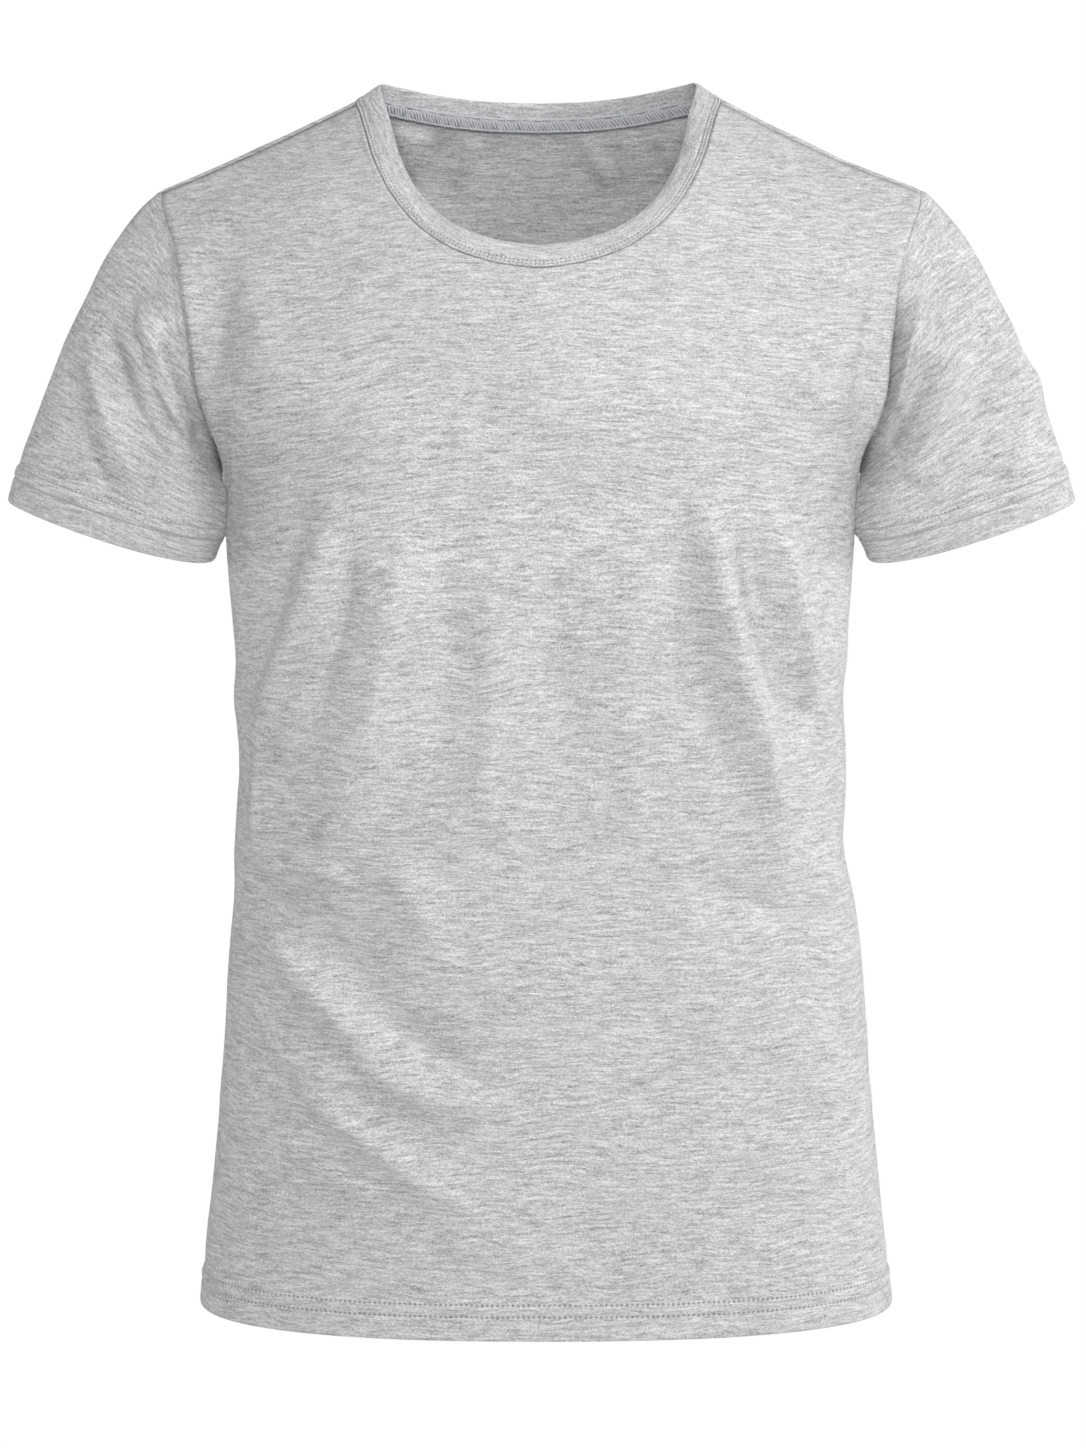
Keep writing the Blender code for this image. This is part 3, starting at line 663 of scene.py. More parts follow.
def blank_material(name, finish):
    """A new material: itself, its shader, and the cloth's places along and up."""
    material = bpy.data.materials.new(name)
    material.use_nodes = True
    tree = material.node_tree
    shader = tree.nodes["Principled BSDF"]
    for setting, value in finish.items():
        shader.inputs[setting].default_value = value
    places = []
    for layer in PLAN_LAYERS:
        plan = tree.nodes.new("ShaderNodeUVMap")
        plan.uv_map = layer
        apart = tree.nodes.new("ShaderNodeSeparateXYZ")
        tree.links.new(plan.outputs[0], apart.inputs[0])
        places.append((Link(tree, apart.outputs[0]), Link(tree, apart.outputs[1])))
    return material, shader, places


def streaks(along, up, long, high, seed, detail=1):
    """Noise about zero, drawn out along the courses; its size is in millimetres."""
    at = along.node("ShaderNodeCombineXYZ", {}, {
        "X": along / (long * MM), "Y": up / (high * MM), "Z": seed})
    noise = along.node("ShaderNodeTexNoise", {"noise_dimensions": "3D"}, {
        "Vector": at, "Scale": 1, "Detail": detail, "Roughness": 0.55})
    return noise - 0.5


MELANGE_LIGHT = (0.80, 0.799, 0.811, 1)
MELANGE_DARK = (0.246, 0.2475, 0.26, 1)
MELANGE_SHADE = 0.56         # from dark to light
# Its streaks: length, height, seed and detail, and what they add to shade and relief.
MELANGE_STREAKS = (
    (0.85, 0.62, 5.3, 0, 0.9, 0.9),
    (2.4, 0.75, 27.3, 1, 0.75, 0.8),
    (9.5, 1.15, 11.7, 2, 1.05, 0.5),
    (20, 2.1, 41.9, 1, 0.65, 0),
    (48, 15, 63.1, 1, 0.15, 0),
)
LONG_STREAK = 5              # longer ones are as strong as the cloth is uneven
FLECKS = (3.4, 0.75, 81.5, 0)    # the few dark ones, where this noise is above the limits
FLECKS_ABOVE = (0.24, 0.36)
FLECKS_DARK = 0.3
SWAY = (55, 40, 3.1)         # length, height and seed of the waves that the courses run in
SWAY_RISE = 11 * MM
WALE = 0.74 * MM
WALE_RELIEF = 0.3
COURSE = 0.6 * MM
COURSE_RELIEF = 0.22
COURSE_DIP = 0.45            # of a course, between the middle and the sides of a wale
KNIT_RELIEF = (0.4, 0.25 * MM)       # strength and depth
# A hole and the swell between two holes: where each begins and ends to fade.
HOLE_HIGH = (0.3 * MM, 0.8 * MM)
HOLE_LONG = (0.12, 0.22)     # of the pitch
SWELL_HIGH = (0.5 * MM, 1.3 * MM)
SWELL_FROM_HOLE = (0.2, 0.42)
# The holes' darkening is painted shade, and the swells' lightening painted highlight.
HOLE_PAINTED_SHADE = 0.52             # what they take from shade and relief, or add to them
HOLE_SINK = 1.8
SWELL_PAINTED_HIGHLIGHT = 0.24
SWELL_RISE = 1.6
MELANGE_FINISH = {"Roughness": 0.88, "Specular IOR Level": 0.18, "Sheen Weight": 0.12,
                  "Sheen Roughness": 0.5}


def melange(name, stitch_rows, pitch, uneven=1.0):
    """Grey melange jersey: light and dark fibres spun together, so that each course
    shows short uneven dashes.  Along the stitch rows needle holes and swells take turns,
    the holes with painted shade and the swells with painted highlight."""
    material, shader, ((along, up), (edge_along, edge_up)) = blank_material(name, MELANGE_FINISH)
    level = up + streaks(along, up, *SWAY) * SWAY_RISE
    tone = MELANGE_SHADE - streaks(along, level, *FLECKS).cut(*FLECKS_ABOVE) * FLECKS_DARK
    side = abs((along / WALE).fraction() - 0.5) * 2
    knit = (level / COURSE + side * COURSE_DIP).wave() * COURSE_RELIEF + side * WALE_RELIEF
    for long, high, seed, detail, shade, relief in MELANGE_STREAKS:
        layer = streaks(along, level, long, high, seed, detail)
        tone = tone + layer * (shade * uneven if long > LONG_STREAK else shade)
        knit = knit + layer * relief
    for row in stitch_rows:
        away = abs(edge_up - row)
        middle = abs((edge_along / pitch).fraction() - 0.5)
        hole = (1 - away.cut(*HOLE_HIGH)) * (1 - middle.cut(*HOLE_LONG))
        swell = (1 - away.cut(*SWELL_HIGH)) * middle.cut(*SWELL_FROM_HOLE)
        # painted shade in the needle holes, painted highlight on the swells between them
        tone = tone + swell * SWELL_PAINTED_HIGHLIGHT - hole * HOLE_PAINTED_SHADE
        knit = knit + swell * SWELL_RISE - hole * HOLE_SINK
    tone.colour(MELANGE_DARK, MELANGE_LIGHT, shader)
    knit.relief(*KNIT_RELIEF, shader)
    return material


THREAD_SIDES = 6


def threads(name, paths, facing, thick, material):
    """Lengths of thread in one piece: their paths, the way they face, half thickness."""
    count, places = paths.shape[:2]
    ahead = unit(np.gradient(paths, axis=1))
    out = unit(facing - ahead * (facing * ahead).sum(axis=-1, keepdims=True))
    beside = np.cross(ahead, out)
    turn = 2 * math.pi * np.arange(THREAD_SIDES) / THREAD_SIDES
    spokes = out[:, :, None] * np.cos(turn)[:, None] + beside[:, :, None] * np.sin(turn)[:, None]
    vertices = paths[:, :, None] + spokes * np.reshape(thick, (-1, 1, 1))
    corners = corners_of(places - 1, THREAD_SIDES)
    starts = np.arange(count)[:, None, None] * places * THREAD_SIDES
    walls = (faces_at(corners, places, THREAD_SIDES) + starts).reshape(-1, 4)
    round_end = np.arange(THREAD_SIDES)
    ends = np.stack([round_end[::-1], round_end + (places - 1) * THREAD_SIDES])
    ends = (ends + starts).reshape(-1, THREAD_SIDES)
    lengths = run_lengths(paths, 1)
    plan = np.stack([
        np.stack([lengths[:, a], np.tile(b / THREAD_SIDES, (count, 1, 1))], -1)
        for a, b in corners
    ], axis=-2)
    plan = np.concatenate([plan.reshape(-1, 2), np.zeros((ends.size, 2))])
    rounded = np.arange(len(walls) + len(ends)) < len(walls)
    thread = cloth_mesh(name, vertices, walls.tolist() + ends.tolist(), rounded,
                        (plan, plan), material)
    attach(thread, "root")


THREAD_TWIST = 0.55 * MM
# how much painted shade and highlight follow the twist's grooves and ridges
TWIST_PAINTED_SHADING = 0.18
TWIST_RELIEF = (0.5, 0.08 * MM)
THREAD_STREAKS = (2.2, 0.4, 17.9)    # length, height and seed
STREAK_SHADE = 0.9
THREAD_SHADE = 0.62          # from its darkest to its own colour
THREAD_DARKEST = 0.72        # of its own colour
THREAD_FINISH = {"Roughness": 0.6, "Specular IOR Level": 0.3}


def spun_thread(name, colour):
    """Spun polyester thread: a slanting twist with painted shade and highlight along it, and
    slightly uneven grey.
    """
    material, shader, ((along, around), _) = blank_material(name, THREAD_FINISH)
    twist = (along / THREAD_TWIST + around * 2).wave()
    shade = streaks(along, around * MM, *THREAD_STREAKS) * STREAK_SHADE
    darkest = tuple(THREAD_DARKEST * part for part in colour[:3]) + (1,)
    # the twist's ridges painted lighter and its grooves darker, as highlight and shade
    (twist * TWIST_PAINTED_SHADING + shade + THREAD_SHADE).colour(darkest, colour, shader)
    twist.relief(*TWIST_RELIEF, shader)
    return material


# One stitch, in thousandths of its half length, of its thickness and of its rise.
STITCH = named("at thick rise", (
    (-1000, 350, -1000),
    (-820, 800, -300),
    (-350, 1000, 700),
    (350, 1000, 700),
    (820, 800, -300),
    (1000, 350, -1000),
))
STITCH_RISE = 0.28 * MM
STITCH_THICK = 0.32 * MM
STITCH_SHARE = 0.40          # of the pitch, from the middle of a stitch to its end
STITCH_LINES = (9, 16)       # rows of the turned-up edge that the needles went through
LOOPER_THICK = 0.256 * MM
stitch_thick = STITCH["thick"] * STITCH_THICK
grey_thread = spun_thread("grey_thread", (0.60, 0.605, 0.62, 1))


def at_stops(stops, along, points):
    """Points at the stops along a line."""
    return np.stack([np.interp(stops, along, points[:, axis]) for axis in range(3)], axis=-1)


def sewn_row(points, facing, along, pitch):
    """Paths of the stitches of one row, and the way they face."""
    first = math.ceil(along[0] / pitch + 0.5)
    last = math.floor(along[-1] / pitch - 0.5)
    middles = np.arange(first, last + 1) * pitch
    at = middles[:, None] + STITCH["at"] * STITCH_SHARE * pitch
    path = at_stops(at, along, points)
    out = unit(at_stops(at, along, facing))
    lift = STITCH["rise"] * STITCH_RISE
    return path + out * lift[None, :, None], out


def looper_path(low, high, facing, along, pitch):
    """The thread that runs to and fro between two rows inside a turned-up edge."""
    stops = np.arange(math.ceil(along[0] / pitch) + 1, math.floor(along[-1] / pitch), 0.25) * pitch
    swing = 0.5 + 0.5 * np.cos(2 * math.pi * stops / pitch)
    low, high, out = (at_stops(stops, along, line) for line in (low, high, facing))
    path = low * (1 - swing)[:, None] + high * swing[:, None]
    return (path + out * STITCH_THICK)[None], unit(out)[None]


def sew_edge(name, outer, facing, lining, pitch, middle=0):
    """Two rows of stitches outside a turned-up edge and the looper thread inside it.
    Grid rows are counted from the edge; stitches are counted from the middle place."""
    for line in STITCH_LINES:
        along = run_lengths(outer[line], 0)
        path, out = sewn_row(outer[line], facing[line], along - along[middle], pitch)
        threads("%s_row_%d" % (name, line), path, out, stitch_thick, grey_thread)
    low, high = (lining[line] for line in STITCH_LINES)
    path, out = looper_path(low, high, -facing[STITCH_LINES[0]], run_lengths(low, 0), pitch)
    threads(name + "_looper", path, out, LOOPER_THICK, grey_thread)


def make_up(name, node, outer, facing, walls, plans, material, cut, area, **shape):
    """A panel or a sleeve as a wall of jersey. Gives the side towards the wearer."""
    lining = outer - facing * walls[:, None, None]
    piece = shell(name, outer, lining, plans, material, **shape)
    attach(piece, "root")
    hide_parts(node)
    return lining


# Where the courses lean: middle across and up, reach across and up, and how far
# they drop from one side of the place to the other.
LEANS = {
    "front": ((-112, -180, 50, 110, -22), (118, -190, 55, 100, 9)),
    "back": ((-120, -190, 60, 110, -12), (115, -170, 60, 110, 14)),
}


def panel_plans(face, points):
    """Places of a panel's points: along and up the courses, and up from the hem."""
    along = run_lengths(points, 1)
    along = along - along[:, along.shape[1] // 2, None]
    from_hem = run_lengths(points, 0)
    through = points.shape[1] // 6
    up = np.interp(points[..., 2], points[:, through, 2], from_hem[:, through])
    for x, z, wide, high, drop in np.array(LEANS[face]) * MM:
        share = 0.5 + 0.5 * np.tanh((points[..., 0] - x) / wide)
        up = up + share * bell(points[..., 2], drop, z, high)
    from_hem[:len(BODY_EDGE["up"])] = BODY_EDGE["up"][:, None]
    return np.stack([along, up], axis=-1), np.stack([along, from_hem], axis=-1)


PANEL_CUT = (0.505, 0.725)
PANEL_AREA = {"front": 0.315, "back": 0.335}
HEM_PITCH = 2.9 * MM
body_jersey = melange("body_jersey", (13.3 * MM, 20.0 * MM), pitch=HEM_PITCH)
HEM_ROWS = 18                # rows of the turned-up part, which is thicker
walls = np.full(LOWER_ROWS + RISING_ROWS, JERSEY)
walls[:HEM_ROWS] = HEM_WALL
surfaces = {}
outward = {}
linings = {}
for face in ("front", "back"):
    surfaces[face] = outer = panel_surface(face)
    outward[face] = panel_normals(face, outer)
    linings[face] = make_up(face + "_panel", face, outer, outward[face], walls,
                            panel_plans(face, outer), body_jersey, PANEL_CUT,
                            PANEL_AREA[face], flipped=face == "back")
for face, outer in surfaces.items():
    sew_edge(face + "_hem", outer, outward[face], linings[face], HEM_PITCH, outer.shape[1] // 2)

# ---------------------------------------------------------------------------
# Sleeves. Short set-in sleeves of the same jersey, sewn round the armholes and
# joined under the arm.  Their lower edge is turned up once, with two stitch rows.

CUFF_CENTRE = (-247.0 * MM, -4.0 * MM, -251.8 * MM)
CUFF_HALF_WIDTH = 61.7 * MM
CUFF_HALF_DEPTH = 43.0 * MM
CUFF_RAKE = math.radians(16.0)
CUFF_DROOP = {"front": 5.0 * MM, "back": 3.0 * MM}
CUFF_SKEW = 0.45
SLEEVE_FALL = math.radians(73.0)
SLEEVE_BULGE = 7.0 * MM
SLEEVE_ROWS = 110
ROW_CROWDING = 1.15          # above 1 the rows lie closer near the armhole
SLEEVE_APART = 0.39 * MM     # from the edge of the body
STAND_OFF = 3                # low down, how much more it starts off the body than along it
STAND_OFF_POWER = 4          # the higher, the lower down this sets in
RUN_SAMPLES = 60
# From the top of the armhole (0) to the underarm (1000), in thousandths: how closely a
# sleeve follows the body where it leaves it, and how long it keeps to that at each end.
SETTING = named("round follow pull_seam pull_cuff", (
    (0, 930, 190, 360),
    (150, 830, 200, 360),
    (400, 420, 210, 350),
    (650, 200, 220, 330),
    (850, 60, 240, 300),
    (1000, 0, 250, 250),
))
CUFF_EDGE = named("up out", (
    (0, -0.5), (0.5, -0.1), (1.4, 0.2), (3.5, 0.35), (6.5, 0.35),
    (9.5, 0.4), (12.2, 0.5), (13.4, 0.45), (14.1, -0.15), (14.5, -0.45),
    (14.9, -0.1), (15.8, 0.5), (17.4, 0.8), (19.2, 0.8), (20.4, 0.6),
    (21.1, 0.0), (21.5, -0.4), (22.0, -0.45), (23.0, -0.3), (25.0, -0.3),
    (29.0, -0.1),
))
SLEEVE_FOLD_ENDS = (0.32, 0.14)
RIGHT_SLEEVE_FRONT_FOLDS = (
    (-10, 2.7, 2.7, -202, -88, -197, -127, -192, -166),
    (10.6, 2.7, 2.7, -204, -112, -195, -155, -183, -200),
    (-10, 5.4, 4.5, -214, -130, -203, -172, -192, -206),
    (11, 4.5, 3.6, -227, -116, -213, -154, -195, -196),
    (-11.2, 4.5, 3.6, -234, -124, -220, -166, -200, -204),
    (11.6, 5.4, 4.5, -238, -122, -221, -164, -194, -204),
    (-8.5, 5.4, 5.4, -246, -128, -232, -176, -206, -216),
    (7.5, 6.3, 6.3, -256, -130, -247, -184, -220, -228),
    (-5.5, 7.2, 6.3, -266, -142, -259, -192, -240, -236),
    (11.9, 7, 7, -179, -214, -179, -236, -182, -268),
)
LEFT_SLEEVE_FRONT_FOLDS = (
    (-12.8, 2.7, 2.7, 204, -92, 200, -136, 194, -180),
    (8.5, 3.6, 3.6, 212, -104, 206, -150, 198, -184),
    (-10, 4.5, 6.3, 219, -142, 208, -178, 194, -208),
    (9.2, 5.4, 7.2, 240, -148, 222, -190, 206, -226),
    (-5.3, 5.4, 5.4, 247, -156, 230, -192, 200, -228),
    (5.3, 6.3, 6.3, 250, -112, 228, -160, 204, -196),
    (-4, 6.3, 6.3, 266, -140, 252, -188, 222, -234),
    (4.7, 7.2, 7.2, 280, -142, 276, -187, 258, -226),
    (11.9, 7, 7, 179, -216, 179, -238, 182, -270),
)
RIGHT_SLEEVE_BACK_FOLDS = (
    (-8.5, 9, 7, -204, -120, -198, -170, -188, -240),
    (5.1, 6, 6, -220, -112, -214, -160, -200, -214),
    (4.4, 6, 7, -242, -130, -236, -176, -216, -226),
    (3.1, 8, 8, -264, -150, -262, -190, -252, -222),
)
LEFT_SLEEVE_BACK_FOLDS = (
    (-8.5, 7, 9, 204, -124, 198, -174, 188, -240),
    (5.4, 6, 6, 222, -116, 216, -164, 200, -218),
    (4.1, 7, 7, 244, -134, 240, -180, 220, -228),
    (3.1, 8, 8, 264, -146, 266, -190, 258, -220),
)


def joined(first, second):
    """One closed loop of two lines that run to each other's starts."""
    start = (first[:1] + second[-1:]) / 2
    turn = (first[-1:] + second[:1]) / 2
    return np.concatenate([start, first[1:-1], turn, second[1:-1]])


def armhole_loop(front, back, side):
    """Armhole from the top, down the front to the underarm and up the back."""
    column_at = 0 if side < 0 else -1
    return joined(front[LOWER_ROWS - 1:, column_at][::-1], back[LOWER_ROWS - 1:, column_at])


def loop_tangents(loop):
    """Unit steps along a closed loop."""
    return unit(np.roll(loop, -1, axis=0) - np.roll(loop, 1, axis=0))


def sleeve_surface(side, loop, normals):
    """Outer points of a sleeve, in rows from the armhole to the cuff."""
    flip = np.array([-side, 1, 1])
    loop = loop * flip
    normals = unit(normals) * flip
    count = len(loop)
    half = count // 2
    lengths = run_lengths(closed(loop), 0)
    front_share = lengths[: half + 1] / lengths[half]
    back_share = (lengths[count] - lengths[half:count]) / (lengths[count] - lengths[half])
    share = np.concatenate([front_share, back_share[1:]])
    ahead = np.where(np.arange(count) <= half, -1.0, 1.0)

    follow, pull_seam, pull_cuff = (
        smooth(share, SETTING["round"], SETTING[name])
        for name in ("follow", "pull_seam", "pull_cuff")
    )
    leave = unit(np.cross(loop_tangents(loop), normals))
    fall = np.array([-math.cos(SLEEVE_FALL), 0, -math.sin(SLEEVE_FALL)])
    steep = SLEEVE_FALL + (math.pi / 2 - SLEEVE_FALL) * share ** 2
    down = np.stack([-np.cos(steep), 0 * steep, -np.sin(steep)], axis=-1)
    start = unit(leave * follow[:, None] + down * (1 - follow[:, None]))

    turn = math.pi * share
    inward = np.array([math.cos(CUFF_RAKE), 0, -math.sin(CUFF_RAKE)])
    cuff = np.array(CUFF_CENTRE) - inward * (CUFF_HALF_WIDTH * np.cos(turn))[:, None]
    cuff[:, 1] += ahead * CUFF_HALF_DEPTH * np.sin(turn)
    droop = np.where(ahead < 0, CUFF_DROOP["front"], CUFF_DROOP["back"])
    cuff[:, 2] -= droop * np.sin(turn) * (1 - CUFF_SKEW * np.cos(turn))

    off = STAND_OFF * (1 - follow[:, None]) ** STAND_OFF_POWER
    apart = unit(start + off * normals)
    first = loop + apart * SLEEVE_APART
    span = np.linalg.norm(cuff - first, axis=1)[:, None]
    near = first + start * span * pull_seam[:, None]
    far = cuff - fall * span * pull_cuff[:, None]
    far[:, 1] += ahead * SLEEVE_BULGE * np.sin(turn)
    t = np.linspace(0, 1, RUN_SAMPLES)[:, None, None]
    runs = (1 - t) ** 3 * first + 3 * t * (1 - t) ** 2 * near
    runs = runs + 3 * t * t * (1 - t) * far + t ** 3 * cuff

    along = run_lengths(runs, 0)
    edge = CUFF_EDGE["up"]
    rows = []
    for place_at in range(count):
        total = along[-1, place_at]
        plain = (total - edge[-1]) * np.linspace(0, 1, SLEEVE_ROWS + 1) ** ROW_CROWDING
        stops = np.concatenate([plain[:-1], total - edge[::-1]])
        rows.append(at_stops(stops, along[:, place_at], runs[:, place_at]))
    return np.array(rows).transpose(1, 0, 2) * flip


# The sleeve falls away behind the body's edge, more and more from the top of the
# armhole (0) to the underarm (1000 thousandths): how deep, and how wide.
CREASE = {
    "front": named("round deep wide", (
        (0, 0.9, 4), (150, 1.8, 4), (280, 3.4, 6), (480, 9, 8), (680, 20, 10),
        (850, 36, 12), (1000, 36, 9),
    )),
    "back": named("round deep wide", (
        (0, 0, 8), (300, 1, 8), (550, 4, 10), (800, 10, 12), (1000, 12, 9),
    )),
}
CREASE_EDGE = 1.8 * MM


def armhole_crease(up):
    """How far the sleeve lies below its seam, at each distance from it."""
    half = up.shape[1] // 2
    place_at = np.arange(up.shape[1])
    share = 1 - np.abs(place_at - half) / half
    deep, wide = (
        np.where(place_at <= half, *(
            smooth(share, CREASE[face]["round"], CREASE[face][name])
            for face in ("front", "back")))
        for name in ("deep", "wide")
    )
    beyond = np.maximum(up - CREASE_EDGE, 0) / wide
    return deep * ease(up / CREASE_EDGE) * (1 + beyond) * np.exp(-beyond)


SEAM_CALM = 6 * MM           # folds die away over these distances from the armhole
CUFF_CALM = 34 * MM          # and from the cuff
FOLD_CHANGE = 1.5            # how fast the front's folds give way to the back's
CREASE_CHANGE = 3            # and the crease in front to the one behind
SEAM_ROLL = (0.45 * MM, 3.2 * MM, 2.0 * MM)
SEAM_SINK = (0.2 * MM, 0, 0.9 * MM)


def dress_sleeve(side, points, front_folds, back_folds):
    """The sleeve's outer points with its folds, hem and the roll beside the armhole."""
    normals = grid_normals(points, around=True) * side
    up = run_lengths(points, 0)
    cuff_fade = ease((up[-1:] - up) / CUFF_CALM)
    ahead = ease(0.5 - normals[..., 1] * FOLD_CHANGE)
    rise = fold_heights(front_folds, points, SLEEVE_FOLD_ENDS) * ahead
    rise += fold_heights(back_folds, points, SLEEVE_FOLD_ENDS) * (1 - ahead)
    rise = (rise + unevenness(points)) * ease(up / SEAM_CALM) * cuff_fade
    rise[-len(CUFF_EDGE["out"]):] += CUFF_EDGE["out"][::-1, None]
    rise += bell(up, *SEAM_ROLL) - bell(up, *SEAM_SINK)
    moved = points + normals * rise[..., None]
    moved[..., 1] -= np.tanh(CREASE_CHANGE * normals[..., 1]) * armhole_crease(up) * cuff_fade
    return moved


# The courses of a sleeve fan out from a point in the body: how far beyond its middle,
# and at what height.  At this radius they lie as close as on the body.
COURSE_TURN = (8.0 * MM, -328.0 * MM)
COURSE_RADIUS = 280.0 * MM


def sleeve_plans(points, side):
    """Places of a sleeve's points: round the arm from the underarm seam and up the
    courses, and again round the arm and up from the cuff."""
    points = closed(points, 1)
    along = run_lengths(points, 1)
    from_cuff = run_lengths(points, 0)
    from_cuff = from_cuff[-1:] - from_cuff
    from_cuff[-len(CUFF_EDGE["up"]):] = CUFF_EDGE["up"][::-1, None]
    fan = np.arctan2(points[..., 2] - COURSE_TURN[1], points[..., 0] * side + COURSE_TURN[0])
    return np.stack([along, fan * COURSE_RADIUS], -1), np.stack([along, from_cuff], -1)


SLEEVE_CUT = (0.36, 0.205)
SLEEVE_AREA = 0.046
SLEEVE_HEM_ROWS = 17
CUFF_PITCH = 2.6 * MM
sleeve_jersey = melange("sleeve_jersey", (14.5 * MM, 21.5 * MM), pitch=CUFF_PITCH)
for side, name, *folds in ((-1, "right", RIGHT_SLEEVE_FRONT_FOLDS, RIGHT_SLEEVE_BACK_FOLDS),
                           (1, "left", LEFT_SLEEVE_FRONT_FOLDS, LEFT_SLEEVE_BACK_FOLDS)):
    loop = armhole_loop(surfaces["front"], surfaces["back"], side)
    loop_normals = armhole_loop(outward["front"], outward["back"], side)
    points = dress_sleeve(side, sleeve_surface(side, loop, loop_normals), *folds)
    points = np.roll(points, -(len(loop) // 2), axis=1)
    normals = grid_normals(points, around=True) * side
    walls = np.full(len(points), JERSEY)
    walls[-SLEEVE_HEM_ROWS:] = HEM_WALL
    inside = make_up("sleeve_" + name + "_cloth", "sleeve_" + name, points, normals, walls,
                     sleeve_plans(points, side), sleeve_jersey, SLEEVE_CUT, SLEEVE_AREA,
                     around=True, flipped=side < 0)
    outer, facing, lining = (closed(grid, 1)[::-1] for grid in (points, normals, inside))
    sew_edge("cuff_" + name, outer, facing, lining, CUFF_PITCH)

# ---------------------------------------------------------------------------
# Neck band. A strip of the same jersey folded over the raw neckline, stitched down
# along its outer edge by two close rows that stand in a low ridge.

BAND_CUT = named("across out", (
    (0.3, 0.1), (0.35, 0.6), (0.7, 1.05), (1.2, 1.05), (1.6, 0.6),
    (1.9, 0.2), (2.2, 0.55), (2.7, 1.1), (3.2, 1.1), (3.7, 0.55),
    (4.0, 0.15), (4.3, 0.45), (5.0, 0.8), (6.5, 0.95), (8.5, 1.0),
    (10.5, 0.95), (12.3, 0.8), (13.8, 0.5), (14.9, 0.1), (15.5, -0.35),
    (15.6, -0.8), (15.3, -1.2), (14.4, -1.5), (12.8, -1.7), (9.0, -1.8),
    (4.0, -1.8), (0.3, -1.7),
))
BAND_LIFT_SHOULDER = math.radians(30)
BAND_LIFT_SIDE = {-1: math.radians(8), 1: math.radians(-10)}    # beside the front of the neck
BAND_LIFT_REACH = 30.0 * MM          # from the shoulder to there
BAND_LIFT = {"front": math.radians(57), "back": math.radians(80)}
BAND_TURN = {"front": 2.0, "back": 1.5}
BAND_STEP = 1.0 * MM
BAND_ROUNDING = 60           # times that its turns are evened out round the neck
SEAM_ROUNDING = 6
BAND_EASED = 12.0 * MM       # height over the seam from which it lies quite evenly
# The stitches pucker the band: size, length and start of the two waves along it, and
# where they lie, as the height of a bell, its middle and its width.
PUCKERS = ((0.17, 3.3, 0), (0.12, 4.7, 1.3))
PUCKER_PLACE = (1, 4.6 * MM, 3.0 * MM)


def band_frames(loop):
    """Direction of the band's height and of its outer side, round the neck."""
    tangents = loop_tangents(loop)
    inward = unit(np.stack([-tangents[:, 1], tangents[:, 0], 0 * tangents[:, 0]], axis=-1))
    ahead = inward[:, 1] > 0
    facing = np.abs(inward[:, 1]) ** np.where(ahead, BAND_TURN["front"], BAND_TURN["back"])
    steep = np.where(ahead, BAND_LIFT["front"], BAND_LIFT["back"])
    beside = ease(-loop[:, 1] / BAND_LIFT_REACH)
    side_lift = np.where(loop[:, 0] < 0, BAND_LIFT_SIDE[-1], BAND_LIFT_SIDE[1])
    beside = BAND_LIFT_SHOULDER + (side_lift - BAND_LIFT_SHOULDER) * beside
    lift = beside + (steep - beside) * facing
    rise = inward * np.cos(lift)[:, None]
    rise[:, 2] += np.sin(lift)
    for _ in range(BAND_ROUNDING):
        rise = unit(eased_round(rise))
    rise = unit(rise - tangents * (rise * tangents).sum(axis=1)[:, None])
    return rise, np.cross(tangents, rise)


def swept_cut(loop, rise, outward, across, out):
    """A flat cut set up at every point of a loop."""
    return loop[:, None] + rise[:, None] * across[None, :, None] + outward[:, None] * out


def eased_round(loop):
    """A closed loop with each point drawn towards its neighbours."""
    return (np.roll(loop, 1, axis=0) + 2 * loop + np.roll(loop, -1, axis=0)) / 4


# the neck seam from the right shoulder round the front and then the back, in even steps
shoulder = (PANEL_TURN - NECK_TURN) * PLACES_PER_STEP
seam = joined(*(surfaces[face][-1, shoulder:-shoulder][::OUTWARD[face]] for face in OUTWARD))
seam = closed(seam)
along = run_lengths(seam, 0)
steps = int(round(along[-1] / BAND_STEP))
neck_line = at_stops(np.linspace(0, along[-1], steps + 1)[:-1], along, seam)
for _ in range(SEAM_ROUNDING):
    neck_line = eased_round(neck_line)
rise, band_out = band_frames(neck_line)
across, out = BAND_CUT.values()
round_neck = np.arange(len(neck_line)) * BAND_STEP
pucker = sum(
    size * MM * np.sin(2 * math.pi * round_neck / (length * MM) + start)
    for size, length, start in PUCKERS
)
near_stitch = bell(across, *PUCKER_PLACE) * (out > 0)
out_all = (out[None, :] + pucker[:, None] * near_stitch[None, :])[..., None]
band_points = swept_cut(neck_line, rise, band_out, across, out_all)
eased = band_points
for _ in range(BAND_ROUNDING):
    eased = eased_round(eased)
share = ease(across / BAND_EASED)[None, :, None]
band_points = band_points + (eased - band_points) * share
cut_length = run_lengths(closed(band_points, 1), 1).mean(axis=0)
band_plan = np.stack(np.meshgrid(np.arange(len(neck_line) + 1) * BAND_STEP, cut_length,
                                 indexing="ij"), axis=-1)
BAND_ROWS = (5, 10)          # corners of the cut where the two rows are sewn
BAND_PITCH = 2.5 * MM
band_jersey = melange("band_jersey", tuple(cut_length[corner] for corner in BAND_ROWS),
                      pitch=BAND_PITCH, uneven=0.8)
count, places = band_points.shape[:2]
corners = [corners_of(count, places)[at] for at in (0, 3, 2, 1)]
faces = faces_at(corners, count, places)
spread = np.stack([band_plan[a, b] for a, b in corners], 2)
band = cloth_mesh("neck_band_cloth", band_points, faces.tolist(), np.ones(len(faces), bool),
                  (spread, spread), band_jersey)
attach(band, "root")
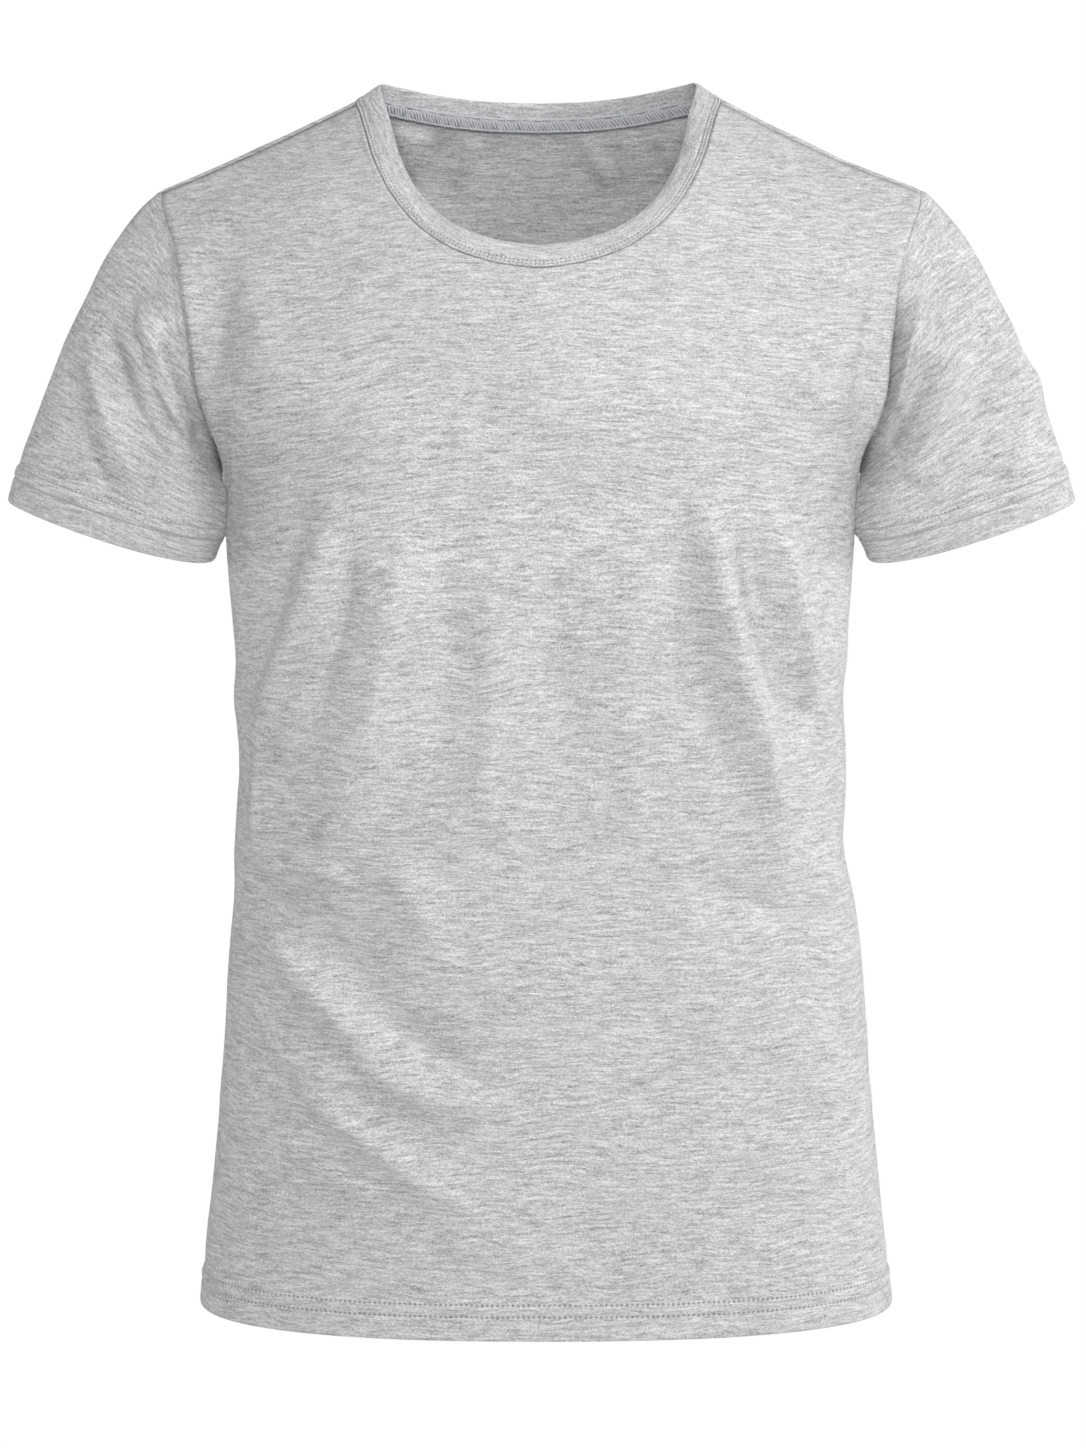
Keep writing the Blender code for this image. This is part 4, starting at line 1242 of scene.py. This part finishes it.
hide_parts("neck_band")

for corner in BAND_ROWS:
    row = closed(band_points[:, corner])
    path, out = sewn_row(row, closed(band_out), np.arange(len(row)) * BAND_STEP, BAND_PITCH)
    threads("neck_row_%d" % corner, path, out, stitch_thick, grey_thread)

# ---------------------------------------------------------------------------
# Neck tape.  The looper threads of the neck stitching, lying over the raw edge inside
# the back neck from shoulder to shoulder: a narrow blue-grey strip of slanting loops.

TAPE_LOW = -1.2 * MM
TAPE_HIGH = 6.2 * MM
TAPE_IN = -0.45 * MM         # from the foot of the band to the side against the cloth
TAPE_WALL = 0.5 * MM
TAPE_FROM = 0.595            # share of the way round the neck, from the right shoulder
TAPE_TO = 0.965

foot = band_points[:, -1]
up_foot = unit(band_points[:, -2] - foot)
out_foot = np.cross(loop_tangents(foot), up_foot)
behind = np.arange(int(len(foot) * TAPE_FROM), int(len(foot) * TAPE_TO))

TAPE_TURN = 1.7 * MM         # from one slanting loop to the next
TAPE_LOOP_SAMPLES = 8
TAPE_THICK = 0.34 * MM
LOOP_BULGE = 0.25            # of its pitch, how far a loop rounds out before it turns
LOOP_WANDER = 0.27           # of its pitch, how far it may lie off its place
LOOP_SHORT = 0.108           # share by which it falls short, from none to twice this
LOOP_SLACK = (1.7, 0.61)     # radians a loop of the two waves that its slack is made of
MAT_SLANT = 0.7
MAT_STREAKS = (2.6, 1.4, 23.7)
MAT_RELIEF = (0.6, 0.3 * MM)
# The mat's darkest colour stands for painted shade between its threads.
TAPE_DARK = (0.26, 0.275, 0.31, 1)
TAPE_BLUE = (0.44, 0.47, 0.52, 1)
TAPE_PALE = (0.76, 0.77, 0.79, 1)

# a mat of blue-grey threads, lying close together on a slant, with painted shade in the grooves
# between them
looper_mat, shader, ((along, up), _) = blank_material("looper_mat", {"Roughness": 0.8})
line = abs(((along + up * MAT_SLANT) / (TAPE_TURN / 2)).fraction() - 0.5) * 2
# darker between the threads: painted shade; the streaks are the threads' uneven colour
tone = line * 0.7 + streaks(along, up, *MAT_STREAKS) * 1.1
tone.colour(TAPE_DARK, TAPE_BLUE, shader)
line.relief(*MAT_RELIEF, shader)

tape_grid = swept_cut(
    foot[behind], up_foot[behind], out_foot[behind],
    np.array([TAPE_LOW, TAPE_HIGH, TAPE_HIGH, TAPE_LOW]),
    TAPE_IN - np.array([0, 0, 1, 1])[None, :, None] * TAPE_WALL,
).transpose(1, 0, 2)
tape_length = run_lengths(tape_grid[:1], 1)[0]
tape_plan = np.stack(np.meshgrid(np.array([0, TAPE_HIGH - TAPE_LOW]), tape_length, indexing="ij"),
                     axis=-1)[..., ::-1]
tape = shell("neck_tape_strip", tape_grid[:2], tape_grid[2:][::-1], (tape_plan, tape_plan),
             looper_mat)
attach(tape, "root")
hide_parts("neck_tape")

# Its loose threads: two that swing over the whole strip, and a pale cord of loops
# along each edge: how far from the low edge they swing, from and to; turns and start of
# a loop; how far they stand off and how thick they are, in threads; and their slant.
SWINGS = {
    "looper_blue": (-0.1, 7.0, 0.9, 0.0, 0.7, 1.2, 1.6),
    "looper_pale": (0.2, 7.3, 1.15, 0.45, 1.3, 1.1, 2.2),
    "looper_low_edge": (-0.35, 0.75, 0.9, 0.2, 0.9, 1.4, 0.0),
    "looper_high_edge": (6.7, 7.5, 0.9, 0.6, 0.9, 1.1, 0.0),
}
pale_thread = spun_thread("pale_thread", TAPE_PALE)
blue_thread = spun_thread("blue_thread", TAPE_BLUE)
for name, (swing_from, swing_to, turn, start, off, thick, lean) in SWINGS.items():
    pitch = TAPE_TURN * turn
    turns = np.arange(1, tape_length[-1] / pitch - 1, 1 / TAPE_LOOP_SAMPLES)
    angle = 2 * math.pi * (turns + start)
    quick, slow = LOOP_SLACK
    slack = (np.sin(quick * turns + off * 9) + np.sin(slow * turns + 1)) / 2
    swing = (0.5 + 0.5 * np.cos(angle)) * (1 - LOOP_SHORT * (1 + slack))
    up = (swing_from + (swing_to - swing_from) * swing) * MM
    at = turns + LOOP_BULGE * np.sin(angle) + LOOP_WANDER * slack + lean * (swing - 0.5)
    at = at * pitch
    low, high = (at_stops(at, tape_length, tape_grid[line]) for line in (3, 2))
    inward = -at_stops(at, tape_length, out_foot[behind])
    path = low + (high - low) * (up / (TAPE_HIGH - TAPE_LOW))[:, None]
    path = path + inward * ((off + 0.25 * np.sin(angle / 2)) * TAPE_THICK)[:, None]
    threads(name, path[None], inward[None], TAPE_THICK * thick,
            blue_thread if name == "looper_blue" else pale_thread)
